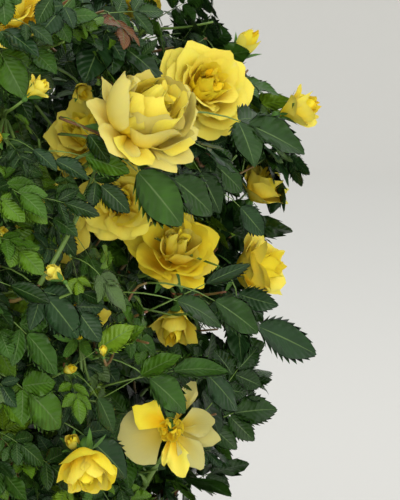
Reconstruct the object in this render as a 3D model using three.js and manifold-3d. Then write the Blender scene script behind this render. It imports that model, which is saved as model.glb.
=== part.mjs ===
// A yellow rose bush, rooted in the ground: a short base stem, canes that rise from it in tiers, and one
// mass of shoots, leaves and blooms at the tip of each cane.
// Millimetres, +Z up, with the origin at the middle of the flat cut at ground level.
// The viewer stands in front, towards -Y, and a little to the right.
import * as THREE from "three";
import { mergeVertices } from "three/addons/utils/BufferGeometryUtils.js";
import Module from "manifold-3d";

// The crown
const bushHeight = 1000; // ground to the top of the crown
const crownRadius = 412; // at its waist
const crownWaist = 690; // height of the widest part
const crownFoot = 140; // height of the lowest leaves
const shoulderBend = 2.7; // how square the crown's shoulders are
const skirtBend = 1.55; // how straight it narrows below the waist
const lobeDepth = 0.06; // how far its outline swells and sinks around the bush

// Gaps, and the space kept between pieces
const jointGap = 0.3; // between a cane and what it meets
const cellGap = 1.5; // from a mass to the edge of its own space
const limbClearance = 14; // from a leaf or shoot to the middle line of a cane
const bloomClearance = 4; // from a leaf to the ball around a bloom
const bloomPass = 0.42; // of a bloom's width, from its middle to another bloom's shoot

// The base stem, a knobbly bud union
const baseRadius = 40;
const baseHeight = 78;
const baseLean = 0.06; // sideways for each unit of height
const baseSides = 15;
const baseKnobs = 0.07; // how far it swells under each lower cane
const baseOutline = [
  [0, 0],
  [1.18, 0],
  [1, 0.12],
  [0.84, 0.34],
  [0.93, 0.58],
  [0.78, 0.82],
  [0.42, 0.97],
  [0, 1],
]; // shares of its radius and height

// The canes, each with its own mass of foliage
const caneSides = 6;
const caneSteps = 5;
const caneSwing = 10; // degrees that a cane's tip may stand off the azimuth of its foot
const caneUpturn = 0.35; // how much a cane's tip turns up from the way to its mass's reach
const caneMarkSteps = 48; // marks on its middle line, at which distances are measured
const curvePull = 0.36; // of a curve's length, how far its ends' headings hold
const tipSpread = 24; // between the heights of a tier's tips
const tiers = [
  {
    name: "lower",
    count: 5,
    firstAzimuth: -86,
    foot: { radius: 30, height: 30 },
    rise: 48, // degrees above level at the foot
    tip: { radius: 98, height: 178 },
    centre: { radius: 205, height: 375 },
    reach: { radius: 275, height: 500 },
    radii: [7.5, 4.8],
  },
  {
    name: "upper",
    count: 5,
    firstAzimuth: -50,
    foot: { radius: 19, height: 56 },
    rise: 78,
    tip: { radius: 100, height: 590 },
    centre: { radius: 205, height: 735 },
    reach: { radius: 232, height: 890 },
    radii: [7, 4.6],
  },
  {
    name: "middle",
    count: 1,
    firstAzimuth: 20,
    foot: { radius: 0, height: 62 },
    rise: 89,
    tip: { radius: 12, height: 640 },
    centre: { radius: 0, height: 810 },
    reach: { radius: 20, height: 915 },
    radii: [7, 4.6],
  },
];

// The shoots: each mass has one stem, and shoots leave it for tips spread over a shell inside the crown
const tipCount = 98;
const tipShare = 0.64; // of the way out to the crown's surface
const tipShadow = 26; // from a bloom's ball to the nearest leafy tip
const forkAngle = 50; // degrees between a shoot and the stem
const forkShares = { first: 0.08, last: 0.98, step: 0.06 }; // of the stem, where a shoot may leave it
const shootMarkSteps = 12; // marks on a shoot's middle line, at which its room is tested
const shootMarkSkip = 2; // marks at each of its ends that are not tested
const stemSides = 4;
const stemSteps = 4;
const straightStart = 15; // of a stem, in line with its cane
const shootSides = 3;
const shootSteps = 2;
const bloomShootSteps = 3;
const shootRadii = [3.2, 2.5];
const goldenAngle = 2.39996; // turn from one tip to the next

// The leaves: one blade stands for a whole leaf of five to seven leaflets
const leafLength = 130;
const leafWidth = 86;
const leafThickness = 1.5;
const leafWidest = 0.45; // of the way from root to tip
const leafLift = 7; // of its edges above its rib
const leafDroop = 15; // of its tip
const leafSizes = [0.84, 1.14];
const leafSpacing = 31;
const leafLean = [50, 70]; // degrees between a leaf and its shoot
const tipLeafLean = 14;
const leafSag = 0.1; // how much a leaf's heading turns down
const leafFacing = { up: 0.8, outward: 0.55, tilt: 0.7 }; // what its upper face turns to
const leafShrinks = [1, 0.72]; // sizes that are tried where a leaf has little room
const leafMargin = 0.06; // how far a leaf's tested outline stands out of it, as a share of its size
const bareShare = 0.25; // of a shoot, from its root

// The blooms: a full one is about as wide as a hand's palm
const bloomCount = 26;
const bloomSpacing = 150;
const bloomWidths = [78, 96];
const bloomHeights = [400, 940];
const bloomShare = 0.93; // of the way out to the crown's surface
const bloomDepth = 0.2; // of its width, how far it is set in from there, and its shoot into its back
const bloomRise = [8, 48]; // degrees above level that it faces
const bloomSwing = 50; // degrees that it may face off its own azimuth
const viewedSide = { fromX: 60, toY: 60, fromZ: 420 }; // where only the viewed blooms stand
const openFrom = 60; // a bloom narrower than this is a bud
const petalTip = 0.13; // how far the five petal tips stand out of the rim
const petalCurl = 0.1; // how far they bend back
const openOutline = [
  [0, -0.62],
  [0.62, -0.42],
  [1, 0.1],
  [0.45, 0.42],
  [0, 0.36],
]; // shares of its radius
const budOutline = [
  [0, -1],
  [0.8, -0.3],
  [0.6, 0.7],
  [0, 1.1],
];

// Blooms on the side that faces the viewer: place, width across, and the azimuth and rise that each faces
const viewedBlooms = [
  { at: [245, -300, 800], across: 98, faces: [-52, 26] },
  { at: [295, -45, 822], across: 94, faces: [-66, 24] },
  { at: [267, -150, 675], across: 88, faces: [-78, 38] },
  { at: [346, 50, 625], across: 72, faces: [-20, 12] },
  { at: [356, 110, 705], across: 56, faces: [-24, 52] },
  { at: [264, -201, 516], across: 86, faces: [-84, -10] },
  { at: [196, -297, 509], across: 58, faces: [-80, -48] },
  { at: [189, -214, 785], across: 76, faces: [-122, 30] },
  { at: [219, -235, 726], across: 64, faces: [-92, 4] },
  { at: [157, -228, 709], across: 66, faces: [-108, 10] },
  { at: [140, -300, 885], across: 62, faces: [-95, 30] },
  { at: [336, 150, 860], across: 46, faces: [-30, 50] },
  { at: [388, 57, 795], across: 48, faces: [-20, 14] },
  { at: [266, -100, 600], across: 48, faces: [-100, -40] },
  { at: [186, -262, 612], across: 46, faces: [-88, 4] },
];

const up = new THREE.Vector3(0, 0, 1);
const radians = THREE.MathUtils.degToRad;
const wasm = await Module();
wasm.setup();

// Seeded numbers from 0 to 1, the same on every run (Park and Miller's rule).
function seeded(seed) {
  let state = seed;
  return () => {
    state = (state * 16807) % 2147483647;
    return state / 2147483647;
  };
}

const around = (azimuth, radius, height) =>
  new THREE.Vector3(radius * Math.cos(azimuth), radius * Math.sin(azimuth), height);

const aimed = (azimuth, rise) => around(azimuth, Math.cos(rise), Math.sin(rise));

// How much the crown's lobes leave of its radius.
function lobed(azimuth, height) {
  const lobes = Math.sin(3 * azimuth + 0.6) + 0.7 * Math.sin(5 * azimuth + height / 130);
  return 1 - (lobeDepth * (1 - lobes)) / 2;
}

// The crown's reach above or below its waist, and how its outline bends there.
const crownHalf = (level) =>
  level > 0 ? [bushHeight - crownWaist, shoulderBend] : [crownFoot - crownWaist, skirtBend];

// How far out in the crown a point is: 0 on the axis at the waist, 1 on the crown's surface.
function crownShare(p) {
  const [reach, bend] = crownHalf(p.z - crownWaist);
  const radius = Math.hypot(p.x, p.y) / (crownRadius * lobed(Math.atan2(p.y, p.x), p.z));
  return radius ** 2 + Math.abs((p.z - crownWaist) / reach) ** bend;
}

// The point on the shell at a share of the way out, for a level from the crown's foot to its top.
function onShell(azimuth, level, share) {
  const [reach, bend] = crownHalf(level);
  const height = crownWaist + level * share ** (1 / bend);
  const radius = crownRadius * Math.sqrt(share * (1 - Math.abs(level / reach) ** bend));
  return around(azimuth, radius * lobed(azimuth, height), height);
}

// A curve that bends from one heading to another.
function bending(start, heading, end, arrival) {
  const pull = curvePull * start.distanceTo(end);
  return new THREE.CubicBezierCurve3(
    start,
    start.clone().addScaledVector(heading, pull),
    end.clone().addScaledVector(arrival, -pull),
    end,
  );
}

// Canes
function makeCanes() {
  return tiers.flatMap((tier, level) =>
    Array.from({ length: tier.count }, (_, i) => {
      const random = seeded(211 + 97 * level + 13 * i);
      const azimuth = radians(tier.firstAzimuth + (360 / tier.count) * i);
      const swing = radians(caneSwing) * (random() - 0.5);
      const placed = ({ radius, height }) => around(azimuth, radius, height);
      const tip = around(azimuth + swing, tier.tip.radius, tier.tip.height + tipSpread * (random() - 0.5));
      const reach = placed(tier.reach);
      const arrival = reach.clone().sub(tip).normalize().addScaledVector(up, caneUpturn).normalize();
      const curve = bending(placed(tier.foot), aimed(azimuth, radians(tier.rise)), tip, arrival);
      const points = curve.getPoints(caneSteps);
      return {
        name: tier.name,
        index: i + 1,
        points,
        marks: curve.getPoints(caneMarkSteps),
        heading: points.at(-1).clone().sub(points.at(-2)).normalize(),
        centre: placed(tier.centre),
        reach,
        radii: tier.radii,
        seed: 1009 + 131 * level + 17 * i,
      };
    }),
  );
}

// Blooms: those that the viewer sees have a place each, and the rest are spread over the crown.
function makeBlooms() {
  const blooms = viewedBlooms.map(({ at, across, faces }) => ({
    at: new THREE.Vector3(...at),
    across,
    faces: aimed(radians(faces[0]), radians(faces[1])),
  }));
  const random = seeded(4021);
  for (let k = 1; blooms.length < bloomCount; k++) {
    const azimuth = k * goldenAngle;
    const height = THREE.MathUtils.lerp(...bloomHeights, Math.sqrt(random()));
    const across = THREE.MathUtils.lerp(...bloomWidths, random());
    const rise = radians(THREE.MathUtils.lerp(...bloomRise, random()));
    const swing = radians(bloomSwing) * (random() - 0.5);
    const outer = around(azimuth, crownRadius, height);
    while (crownShare(outer) > bloomShare) outer.addScaledVector(around(azimuth, 1, 0), -4);
    const at = outer.addScaledVector(around(azimuth, 1, 0), -bloomDepth * across);
    const isCrowded = blooms.some((other) => other.at.distanceTo(at) < bloomSpacing);
    const isViewed = at.x > viewedSide.fromX && at.y < viewedSide.toY && at.z > viewedSide.fromZ;
    if (!isCrowded && !isViewed) blooms.push({ at, across, faces: aimed(azimuth + swing, rise) });
  }
  return blooms;
}

const canes = makeCanes();
const blooms = makeBlooms();
for (const bloom of blooms) {
  bloom.cane = canes.reduce((a, b) =>
    bloom.at.distanceTo(b.centre) < bloom.at.distanceTo(a.centre) ? b : a,
  );
}

// Space tests. A mass owns what lies nearer to its centre than to any other, less a gap.
function inOwnSpace(p, cane) {
  const own = p.distanceToSquared(cane.centre);
  return canes.every(
    (other) =>
      other === cane ||
      p.distanceToSquared(other.centre) - own > 2 * cellGap * cane.centre.distanceTo(other.centre),
  );
}

const ballRadius = (bloom) => (bloom.across / 2) * (1 + petalTip);
const caneMarks = canes.flatMap((cane) => cane.marks);

// The tips that leafy shoots grow to, spread evenly over the shell, but not under a bloom.
function makeTips() {
  const random = seeded(5003);
  const tips = Array.from({ length: tipCount }, (_, k) => {
    const level = THREE.MathUtils.lerp(crownFoot, bushHeight, (k + 0.5) / tipCount) - crownWaist;
    return onShell(k * goldenAngle + 0.2 * random(), level, tipShare);
  });
  return tips.filter((tip) =>
    blooms.every((bloom) => bloom.at.distanceTo(tip) > ballRadius(bloom) + tipShadow),
  );
}

const tips = makeTips();

// The point and heading at a share of the way along a line of points.
function along(points, share) {
  const place = share * (points.length - 1);
  const k = Math.min(Math.floor(place), points.length - 2);
  const point = points[k].clone().lerp(points[k + 1], place - k);
  return { point, heading: points[k + 1].clone().sub(points[k]).normalize() };
}

// The stem of a mass, from just above its cane's tip.
function growStem(cane) {
  const start = cane.points.at(-1).clone().addScaledVector(cane.heading, jointGap);
  const bendFrom = start.clone().addScaledVector(cane.heading, straightStart);
  const arrival = cane.reach.clone().sub(start).normalize().add(up).normalize();
  return [start, ...bending(bendFrom, cane.heading, cane.reach, arrival).getPoints(stemSteps)];
}

// A shoot from the stem to an end. Of the places where it can leave the stem and find room all the way,
// it takes the one where its angle to the stem is nearest to the fork angle.
function growShoot(cane, stem, end, arrival, steps, ownBloom) {
  const hasRoom = (p) =>
    crownShare(p) < 1 &&
    inOwnSpace(p, cane) &&
    caneMarks.every((mark) => mark.distanceTo(p) > limbClearance) &&
    blooms.every((bloom) => bloom === ownBloom || bloom.at.distanceTo(p) > bloomPass * bloom.across);
  const shoots = [];
  for (let share = forkShares.first; share < forkShares.last; share += forkShares.step) {
    const { point, heading } = along(stem, share);
    const straight = end.clone().sub(point);
    const leaving = heading.clone().add(straight.clone().normalize()).normalize();
    const curve = bending(point, leaving, end, arrival);
    const strain = Math.abs(heading.angleTo(straight) - radians(forkAngle));
    const marks = curve.getPoints(shootMarkSteps).slice(shootMarkSkip, -shootMarkSkip);
    if (marks.every(hasRoom)) shoots.push({ curve, strain });
  }
  if (!shoots.length) return [];
  const easiest = shoots.reduce((a, b) => (b.strain < a.strain ? b : a));
  return [{ points: easiest.curve.getPoints(steps), bloom: ownBloom, sides: shootSides }];
}

// All shoots of one mass: one to each of its own tips, and one to the back of each of its blooms.
function growShoots(cane, stem) {
  const leafy = tips
    .filter((tip) => inOwnSpace(tip, cane))
    .flatMap((tip) => {
      const arrival = new THREE.Vector3(tip.x, tip.y, 0).normalize().add(up).normalize();
      return growShoot(cane, stem, tip, arrival, shootSteps, null);
    });
  const blooming = blooms
    .filter((bloom) => bloom.cane === cane)
    .flatMap((bloom) => {
      const back = bloom.at.clone().addScaledVector(bloom.faces, -bloomDepth * bloom.across);
      return growShoot(cane, stem, back, bloom.faces, bloomShootSteps, bloom);
    });
  return [...leafy, ...blooming];
}

// The unit vector square to a heading that points most upwards.
function highSide(heading) {
  const high = up.clone().addScaledVector(heading, -heading.z);
  if (high.length() < 0.05) high.set(1, 0, 0).addScaledVector(heading, -heading.x);
  return high.normalize();
}

// The heading at one of a line's points, and two vectors square to it that turn as little as they can.
function frameAt(points, k) {
  const last = points.length - 1;
  const reference = highSide(points[last].clone().sub(points[0]).normalize());
  const heading = points[Math.min(k + 1, last)].clone().sub(points[Math.max(k - 1, 0)]).normalize();
  const across = reference.addScaledVector(heading, -reference.dot(heading)).normalize();
  return { point: points[k], heading, across, other: across.clone().cross(heading) };
}

// A point of a leaf, at shares of its length and width. The blade droops to its tip, and its edges lift.
function leafPoint({ root, way, face, size }, forward, sidewise) {
  const side = face.clone().cross(way);
  const lifted = 2 * Math.abs(sidewise) * leafLift - forward * leafDroop;
  return root
    .clone()
    .addScaledVector(way, forward * size * leafLength)
    .addScaledVector(side, sidewise * size * leafWidth)
    .addScaledVector(face, size * lifted);
}

// Points over a leaf, at which its room is tested.
function leafMarks(leaf) {
  const marks = [leafPoint(leaf, 1, 0)];
  for (const forward of [0.22, leafWidest, 0.7]) {
    const half = 0.5 * Math.min(forward / leafWidest, (1 - forward) / (1 - leafWidest));
    for (const sidewise of [-1, -0.5, 0, 0.5, 1]) marks.push(leafPoint(leaf, forward, sidewise * half));
  }
  return marks;
}

// A leaf's outline, a little longer and wider than it is: root, left edge, tip and right edge. It starts a
// little way out, because the root itself is inside the shoot.
const leafOutline = (leaf) => [
  leafPoint(leaf, 0.1, 0),
  leafPoint(leaf, leafWidest, 0.5 + leafMargin),
  leafPoint(leaf, 1 + leafMargin, 0),
  leafPoint(leaf, leafWidest, -0.5 - leafMargin),
];

// Whether a line of points passes through a leaf's outline.
function piercedBy([root, left, tip, right], points) {
  const hit = new THREE.Vector3();
  return points.slice(1).some((end, k) => {
    const start = points[k];
    const length = start.distanceTo(end);
    const ray = new THREE.Ray(start, end.clone().sub(start).normalize());
    const strikes = (a, b, c) => ray.intersectTriangle(a, b, c, false, hit) && hit.distanceTo(start) < length;
    return strikes(root, left, tip) || strikes(root, tip, right);
  });
}

// Whether two outlines cross. Two that are farther apart than both are long can't.
const crosses = (a, b) =>
  a[0].distanceTo(b[0]) < 2 * (1 + leafMargin) * Math.max(...leafSizes) * leafLength &&
  (piercedBy(a, [...b, b[0], b[2]]) || piercedBy(b, [...a, a[0], a[2]]));

// Whether a leaf's outline keeps its distance from every cane and bloom.
function clearOfLimbsAndBlooms([root, left, tip, right]) {
  const halves = [new THREE.Triangle(root, left, tip), new THREE.Triangle(root, tip, right)];
  const nearest = new THREE.Vector3();
  const isClear = (p, clearance) =>
    halves.every((half) => half.closestPointToPoint(p, nearest).distanceTo(p) > clearance);
  return (
    caneMarks.every((mark) => isClear(mark, limbClearance)) &&
    blooms.every((bloom) => isClear(bloom.at, ballRadius(bloom) + bloomClearance))
  );
}

// The ways in which a leaf may stand at one place: on each side of its carrier, and then smaller on each.
function leafChoices(sides, { root, frame, turn, lean, size, tilt }) {
  const outward = new THREE.Vector3(root.x, root.y, 0).normalize();
  return leafShrinks.flatMap((shrink) =>
    [0, 1, 2].map((side) => {
      const around = turn + (2 * Math.PI * side) / sides;
      const sideways = frame.across
        .clone()
        .multiplyScalar(Math.sin(around))
        .addScaledVector(frame.other, Math.cos(around));
      const way = frame.heading
        .clone()
        .multiplyScalar(Math.cos(lean))
        .addScaledVector(sideways, Math.sin(lean))
        .addScaledVector(up, -leafSag)
        .normalize();
      const face = up.clone().multiplyScalar(leafFacing.up).addScaledVector(outward, leafFacing.outward);
      face.add(tilt);
      face.addScaledVector(way, -face.dot(way)).normalize();
      return { root, way, face, size: size * shrink };
    }),
  );
}

// The leaves of one mass, spaced along the outer part of each shoot and of the stem. They leave the middle of
// each side of their carrier in turn. A leaf that would leave its mass's space, or touch a cane, bloom, shoot
// or another leaf, is tried in its other ways, and then skipped.
function growLeaves(cane, carriers) {
  const random = seeded(cane.seed);
  const leaves = [];
  for (const carrier of carriers) {
    const { points, bloom, sides } = carrier;
    const count = Math.max(1, Math.round(points[0].distanceTo(points.at(-1)) / leafSpacing));
    for (let k = Math.ceil(count * bareShare); k <= count; k++) {
      const isLast = k === count;
      const frame = frameAt(points, Math.round((k / count) * (points.length - 1)));
      const turn = ((k + 0.5) * 2 * Math.PI) / sides + radians(30) * (random() - 0.5);
      const lean = radians(isLast ? tipLeafLean : THREE.MathUtils.lerp(...leafLean, random()));
      const size = THREE.MathUtils.lerp(...leafSizes, random());
      const tilt = new THREE.Vector3(random() - 0.5, random() - 0.5, 0).multiplyScalar(leafFacing.tilt);
      if (isLast && bloom) continue;
      const root = along(points, k / count).point.addScaledVector(frame.heading, isLast ? -2 : 0);
      const fitting = leafChoices(sides, { root, frame, turn, lean, size, tilt }).find((leaf) => {
        const outline = leafOutline(leaf);
        return (
          leafMarks(leaf).every((mark) => crownShare(mark) < 1 && inOwnSpace(mark, cane)) &&
          !carriers.some((other) => other !== carrier && piercedBy(outline, other.points)) &&
          !leaves.some((other) => crosses(outline, leafOutline(other))) &&
          clearOfLimbsAndBlooms(outline)
        );
      });
      if (fitting) leaves.push(fitting);
    }
  }
  return leaves;
}

// Closed solids from three.js geometry
function solidOf(geometry) {
  geometry.deleteAttribute("normal");
  geometry.deleteAttribute("uv");
  const merged = mergeVertices(geometry, 1e-4);
  return new wasm.Manifold(
    new wasm.Mesh({
      numProp: 3,
      vertProperties: new Float32Array(merged.attributes.position.array),
      triVerts: new Uint32Array(merged.index.array),
    }),
  );
}

// A limb through points: a cylinder bent along them, tapering from root to tip.
function limb(points, rootRadius, tipRadius, sides) {
  const last = points.length - 1;
  const geometry = new THREE.CylinderGeometry(1, 1, 1, sides, last);
  const rings = points.map((_, k) => frameAt(points, k));
  const position = geometry.attributes.position;
  const v = new THREE.Vector3();
  for (let i = 0; i < position.count; i++) {
    v.fromBufferAttribute(position, i);
    const k = Math.round((v.y + 0.5) * last);
    const radius = THREE.MathUtils.lerp(rootRadius, tipRadius, k / last);
    const placed = rings[k].point
      .clone()
      .addScaledVector(rings[k].across, v.x * radius)
      .addScaledVector(rings[k].other, v.z * radius);
    position.setXYZ(i, placed.x, placed.y, placed.z);
  }
  return solidOf(geometry);
}

// A leaf of eight faces: a thick rib from its root, on the shoot's middle line, to its tip, and two edges.
function leafSolid(leaf) {
  const onFace = (forward, high) =>
    leafPoint(leaf, forward, 0).addScaledVector(leaf.face, high * leafThickness);
  const [top, bottom, rib, tip, left, right] = [0, 1, 2, 3, 4, 5];
  const geometry = new THREE.BufferGeometry().setFromPoints([
    onFace(0, 0.5),
    onFace(0, -0.5),
    onFace(leafWidest, 0.5 * (1 + leafWidest)),
    leafPoint(leaf, 1, 0),
    leafPoint(leaf, leafWidest, 0.5),
    leafPoint(leaf, leafWidest, -0.5),
  ]);
  geometry.setIndex([
    ...[top, rib, left, rib, tip, left, top, right, rib, right, tip, rib],
    ...[bottom, left, tip, bottom, tip, right, top, left, bottom, top, bottom, right],
  ]);
  return solidOf(geometry);
}

// A bloom, turned from its outline. An open one has five petal tips that stand out of its rim and bend back.
function bloomSolid({ at, across, faces }) {
  const isOpen = across > openFrom;
  const profile = (isOpen ? openOutline : budOutline).map(
    ([radius, height]) => new THREE.Vector2((radius * across) / 2, (height * across) / 2),
  );
  const geometry = new THREE.LatheGeometry(profile, isOpen ? 10 : 6);
  const position = geometry.attributes.position;
  for (let i = 0; i < position.count; i++) {
    const [x, y, z] = [position.getX(i), position.getY(i), position.getZ(i)];
    const tips = isOpen ? Math.cos(5 * Math.atan2(z, x)) : 0;
    const spread = 1 + petalTip * tips;
    position.setXYZ(i, x * spread, y - petalCurl * tips * Math.hypot(x, z), z * spread);
  }
  geometry.rotateX(Math.PI / 2);
  geometry.applyQuaternion(new THREE.Quaternion().setFromUnitVectors(up, faces));
  geometry.translate(at.x, at.y, at.z);
  return solidOf(geometry);
}

// Everything in one mass, fused. Loose scraps and sealed hollows are separate shells: the one with the most
// faces is kept.
function foliageSolid(cane) {
  const stem = growStem(cane);
  const shoots = growShoots(cane, stem);
  const leaves = growLeaves(cane, [...shoots, { points: stem, bloom: null, sides: stemSides }]);
  const pieces = [
    ...shoots.map(({ points }) => limb(points, ...shootRadii, shootSides)),
    ...leaves.map(leafSolid),
    ...shoots.filter(({ bloom }) => bloom).map(({ bloom }) => bloomSolid(bloom)),
  ];
  const stemSolid = limb(stem, cane.radii[1], shootRadii[0], stemSides);
  const shells = pieces.reduce((whole, piece) => whole.add(piece), stemSolid).decompose();
  return shells.reduce((a, b) => (b.numTri() > a.numTri() ? b : a));
}

// The base stem, swollen where the canes leave it. Grown by a gap, it cuts the feet of the canes.
function baseSolid(grow) {
  const profile = baseOutline.map(
    ([radius, height]) =>
      new THREE.Vector2(radius * baseRadius + (radius && grow), height * baseHeight + (height && grow)),
  );
  const geometry = new THREE.LatheGeometry(profile, baseSides);
  geometry.rotateX(Math.PI / 2);
  const position = geometry.attributes.position;
  for (let i = 0; i < position.count; i++) {
    const [x, y, z] = [position.getX(i), position.getY(i), position.getZ(i)];
    const turn = Math.atan2(y, x) - radians(tiers[0].firstAzimuth);
    const knobs = 1 + baseKnobs * Math.cos(tiers[0].count * turn);
    position.setXYZ(i, x * knobs + z * baseLean, y * knobs, z);
  }
  return solidOf(geometry);
}

// The scene graph
const bark = new THREE.MeshStandardMaterial({ color: "#6b5a3e", roughness: 0.9, metalness: 0 });
const greenBark = new THREE.MeshStandardMaterial({ color: "#5f7a35", roughness: 0.55, metalness: 0 });
const leafGreen = new THREE.MeshStandardMaterial({ color: "#33592a", roughness: 0.4, metalness: 0 });

const bush = new THREE.Group();

function addNode(name, solid, material) {
  const made = solid.getMesh();
  const geometry = new THREE.BufferGeometry();
  geometry.setAttribute("position", new THREE.BufferAttribute(made.vertProperties, made.numProp));
  geometry.setIndex(new THREE.BufferAttribute(made.triVerts, 1));
  geometry.computeVertexNormals();
  const mesh = new THREE.Mesh(geometry, material);
  mesh.name = name;
  bush.add(mesh);
}

addNode("base_stem", baseSolid(0), bark);
const caneCutter = baseSolid(jointGap + 0.1);
for (const cane of canes) {
  const caneSolid = limb(cane.points, ...cane.radii, caneSides).subtract(caneCutter);
  addNode(`${cane.name}_cane_${cane.index}`, caneSolid, greenBark);
  addNode(`${cane.name}_foliage_${cane.index}`, foliageSolid(cane), leafGreen);
}

export default bush;
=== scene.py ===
"""A yellow rose bush, rooted in the ground: bark, canes, shoots, compound leaves and blooms.

Every piece is a surface worked out with numpy in metres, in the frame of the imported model, +Z up.
"""
import math
from functools import lru_cache

import bpy
import numpy as np
from bpy.props import FloatProperty, FloatVectorProperty, IntProperty, PointerProperty
from bpy.types import Operator, Panel, PropertyGroup
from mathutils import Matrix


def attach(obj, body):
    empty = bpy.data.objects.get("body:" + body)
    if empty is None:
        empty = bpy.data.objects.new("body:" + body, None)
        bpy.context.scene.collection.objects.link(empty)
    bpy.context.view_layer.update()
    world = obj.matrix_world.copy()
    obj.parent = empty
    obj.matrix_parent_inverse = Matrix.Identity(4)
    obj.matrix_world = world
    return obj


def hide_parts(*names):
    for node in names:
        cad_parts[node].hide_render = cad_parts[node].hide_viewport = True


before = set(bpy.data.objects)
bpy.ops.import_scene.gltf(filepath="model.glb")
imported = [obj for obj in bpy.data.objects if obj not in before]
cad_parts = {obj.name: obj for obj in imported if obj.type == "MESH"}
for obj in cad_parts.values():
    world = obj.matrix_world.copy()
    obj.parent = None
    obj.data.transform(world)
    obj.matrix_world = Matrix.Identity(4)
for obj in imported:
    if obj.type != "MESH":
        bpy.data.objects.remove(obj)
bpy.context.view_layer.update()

bl_info = {
    "name": "Yellow rose bush",
    "version": (1, 0, 0),
    "blender": (4, 5, 0),
    "location": "3D View > Sidebar > Rose bush",
    "description": "Dresses the frame of a rose bush with bark, shoots, leaves and blooms",
    "category": "Object",
}

# The crown, in metres, as the frame has it
BUSH_HEIGHT = 1.0
CROWN_RADIUS = 0.412
CROWN_WAIST = 0.69
CROWN_FOOT = 0.14
SHOULDER_BEND = 2.7
SKIRT_BEND = 1.55
LOBE_DEPTH = 0.06

# Space kept between pieces
JOINT_GAP = 0.0003
CELL_GAP = 0.0015
LIMB_CLEARANCE = 0.014
BLOOM_PASS = 0.42

# The base stem
BASE_RADIUS = 0.04
BASE_HEIGHT = 0.078
BASE_LEAN = 0.06
BASE_KNOBS = 0.07
BASE_OUTLINE = [
    (1.18, 0), (1, 0.12), (0.84, 0.34), (0.93, 0.58), (0.78, 0.82), (0.42, 0.97), (0.06, 1),
]
BARK_RIDGES = 26  # around the stem, one every 10 mm
BARK_CRACKS = 19  # around the stem, one every 13 mm
RIDGE_HEIGHT = 0.0016
CRACK_DEPTH = 0.0018

# The tiers of canes: radius and height of foot, tip, centre and reach, the rise at the foot in
# degrees, and the radii at foot and tip
TIERS = [
    dict(name="lower", count=5, azimuth=-86, foot=(0.030, 0.030), rise=48, tip=(0.098, 0.178),
         centre=(0.205, 0.375), reach=(0.275, 0.5), radii=(0.0075, 0.0048)),
    dict(name="upper", count=5, azimuth=-50, foot=(0.019, 0.056), rise=78, tip=(0.1, 0.59),
         centre=(0.205, 0.735), reach=(0.232, 0.89), radii=(0.007, 0.0046)),
    dict(name="middle", count=1, azimuth=20, foot=(0, 0.062), rise=89, tip=(0.012, 0.64),
         centre=(0, 0.81), reach=(0.02, 0.915), radii=(0.007, 0.0046)),
]
CANE_STEPS = 5
CANE_SWING = 10
CANE_UPTURN = 0.35
CANE_MARK_STEPS = 48
CANE_NODES = 0.042  # spacing of the swellings at which a cane once bore leaves
TIP_SPREAD = 0.024
CURVE_PULL = 0.36

# The shoots
TIP_COUNT = 98
TIP_SHARE = 0.64
TIP_SHADOW = 0.026
FORK_ANGLE = 50
FORK_SHARES = (0.08, 0.98, 0.06)  # first, last and step, along the stem
SHOOT_MARK_STEPS = 12
SHOOT_MARK_SKIP = 2
SHOOT_STEPS = 12
STEM_STEPS = 4
STEM_LINE_STEPS = 24
STRAIGHT_START = 0.015
SHOOT_RADII = (0.0032, 0.0019)
GOLDEN_ANGLE = 2.39996

# The blooms
BLOOM_COUNT = 26
BLOOM_SPACING = 0.15
BLOOM_WIDTHS = (0.078, 0.096)
BLOOM_HEIGHTS = (0.4, 0.94)
BLOOM_SHARE = 0.93
BLOOM_STEP = 0.004
BLOOM_DEPTH = 0.2
BLOOM_RISE = (8, 48)
BLOOM_SWING = 50
PETAL_TIP = 0.13
PETAL_FOOT = -0.5  # along the axis from a bloom's middle, as a share of its radius

# Blooms on the side that faces the viewer: place, width across, the azimuth and rise that each
# faces, its form, and the share of its radius that no leaf hides
VIEWED_BLOOMS = [
    ((0.245, -0.300, 0.800), 0.098, (-52, 26), "shells", 1),
    ((0.295, -0.045, 0.822), 0.094, (-66, 24), "full", 1),
    ((0.267, -0.150, 0.675), 0.088, (-78, 38), "loose", 1.2),
    ((0.346, 0.050, 0.625), 0.072, (-20, 12), "cup", 1),
    ((0.356, 0.110, 0.705), 0.056, (-24, 52), "cup", 1),
    ((0.264, -0.201, 0.516), 0.086, (-84, -10), "spent", 1),
    ((0.196, -0.297, 0.509), 0.058, (-80, -48), "nodding", 1),
    ((0.189, -0.214, 0.785), 0.076, (-122, 30), "full", 1.1),
    ((0.219, -0.235, 0.726), 0.064, (-92, 4), "full", 0.5),
    ((0.157, -0.228, 0.709), 0.066, (-108, 10), "full", 0.3),
    ((0.140, -0.300, 0.885), 0.062, (-95, 30), "cup", 0.35),
    ((0.336, 0.150, 0.860), 0.046, (-30, 50), "bud", 1),
    ((0.388, 0.057, 0.795), 0.048, (-20, 14), "opening", 1),
    ((0.266, -0.100, 0.600), 0.048, (-100, -40), "opening", 1),
    ((0.186, -0.262, 0.612), 0.046, (-88, 4), "opening", 0.6),
]
VIEWED_SIDE = (0.06, 0.06, 0.42)  # from this x, to this y and from this z, only these blooms stand
SPLAYED = (17, 22)  # of the other blooms, the ones that are fully open
VIEWER = (0.29, -1.35, 0.842)
VIEWER_PITCH = -8
KEY_PLACE = (-1.7, -2.8, 3.4)
KEY_REACH = 0.16  # how far from a bloom leaves keep out of the way of the main light
KEY_SHARE = 0.62  # and over what share of its radius
SIGHT_START, SIGHT_REACH = 0.002, 9.0  # from a seen spot, where leaves can hide it

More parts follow.
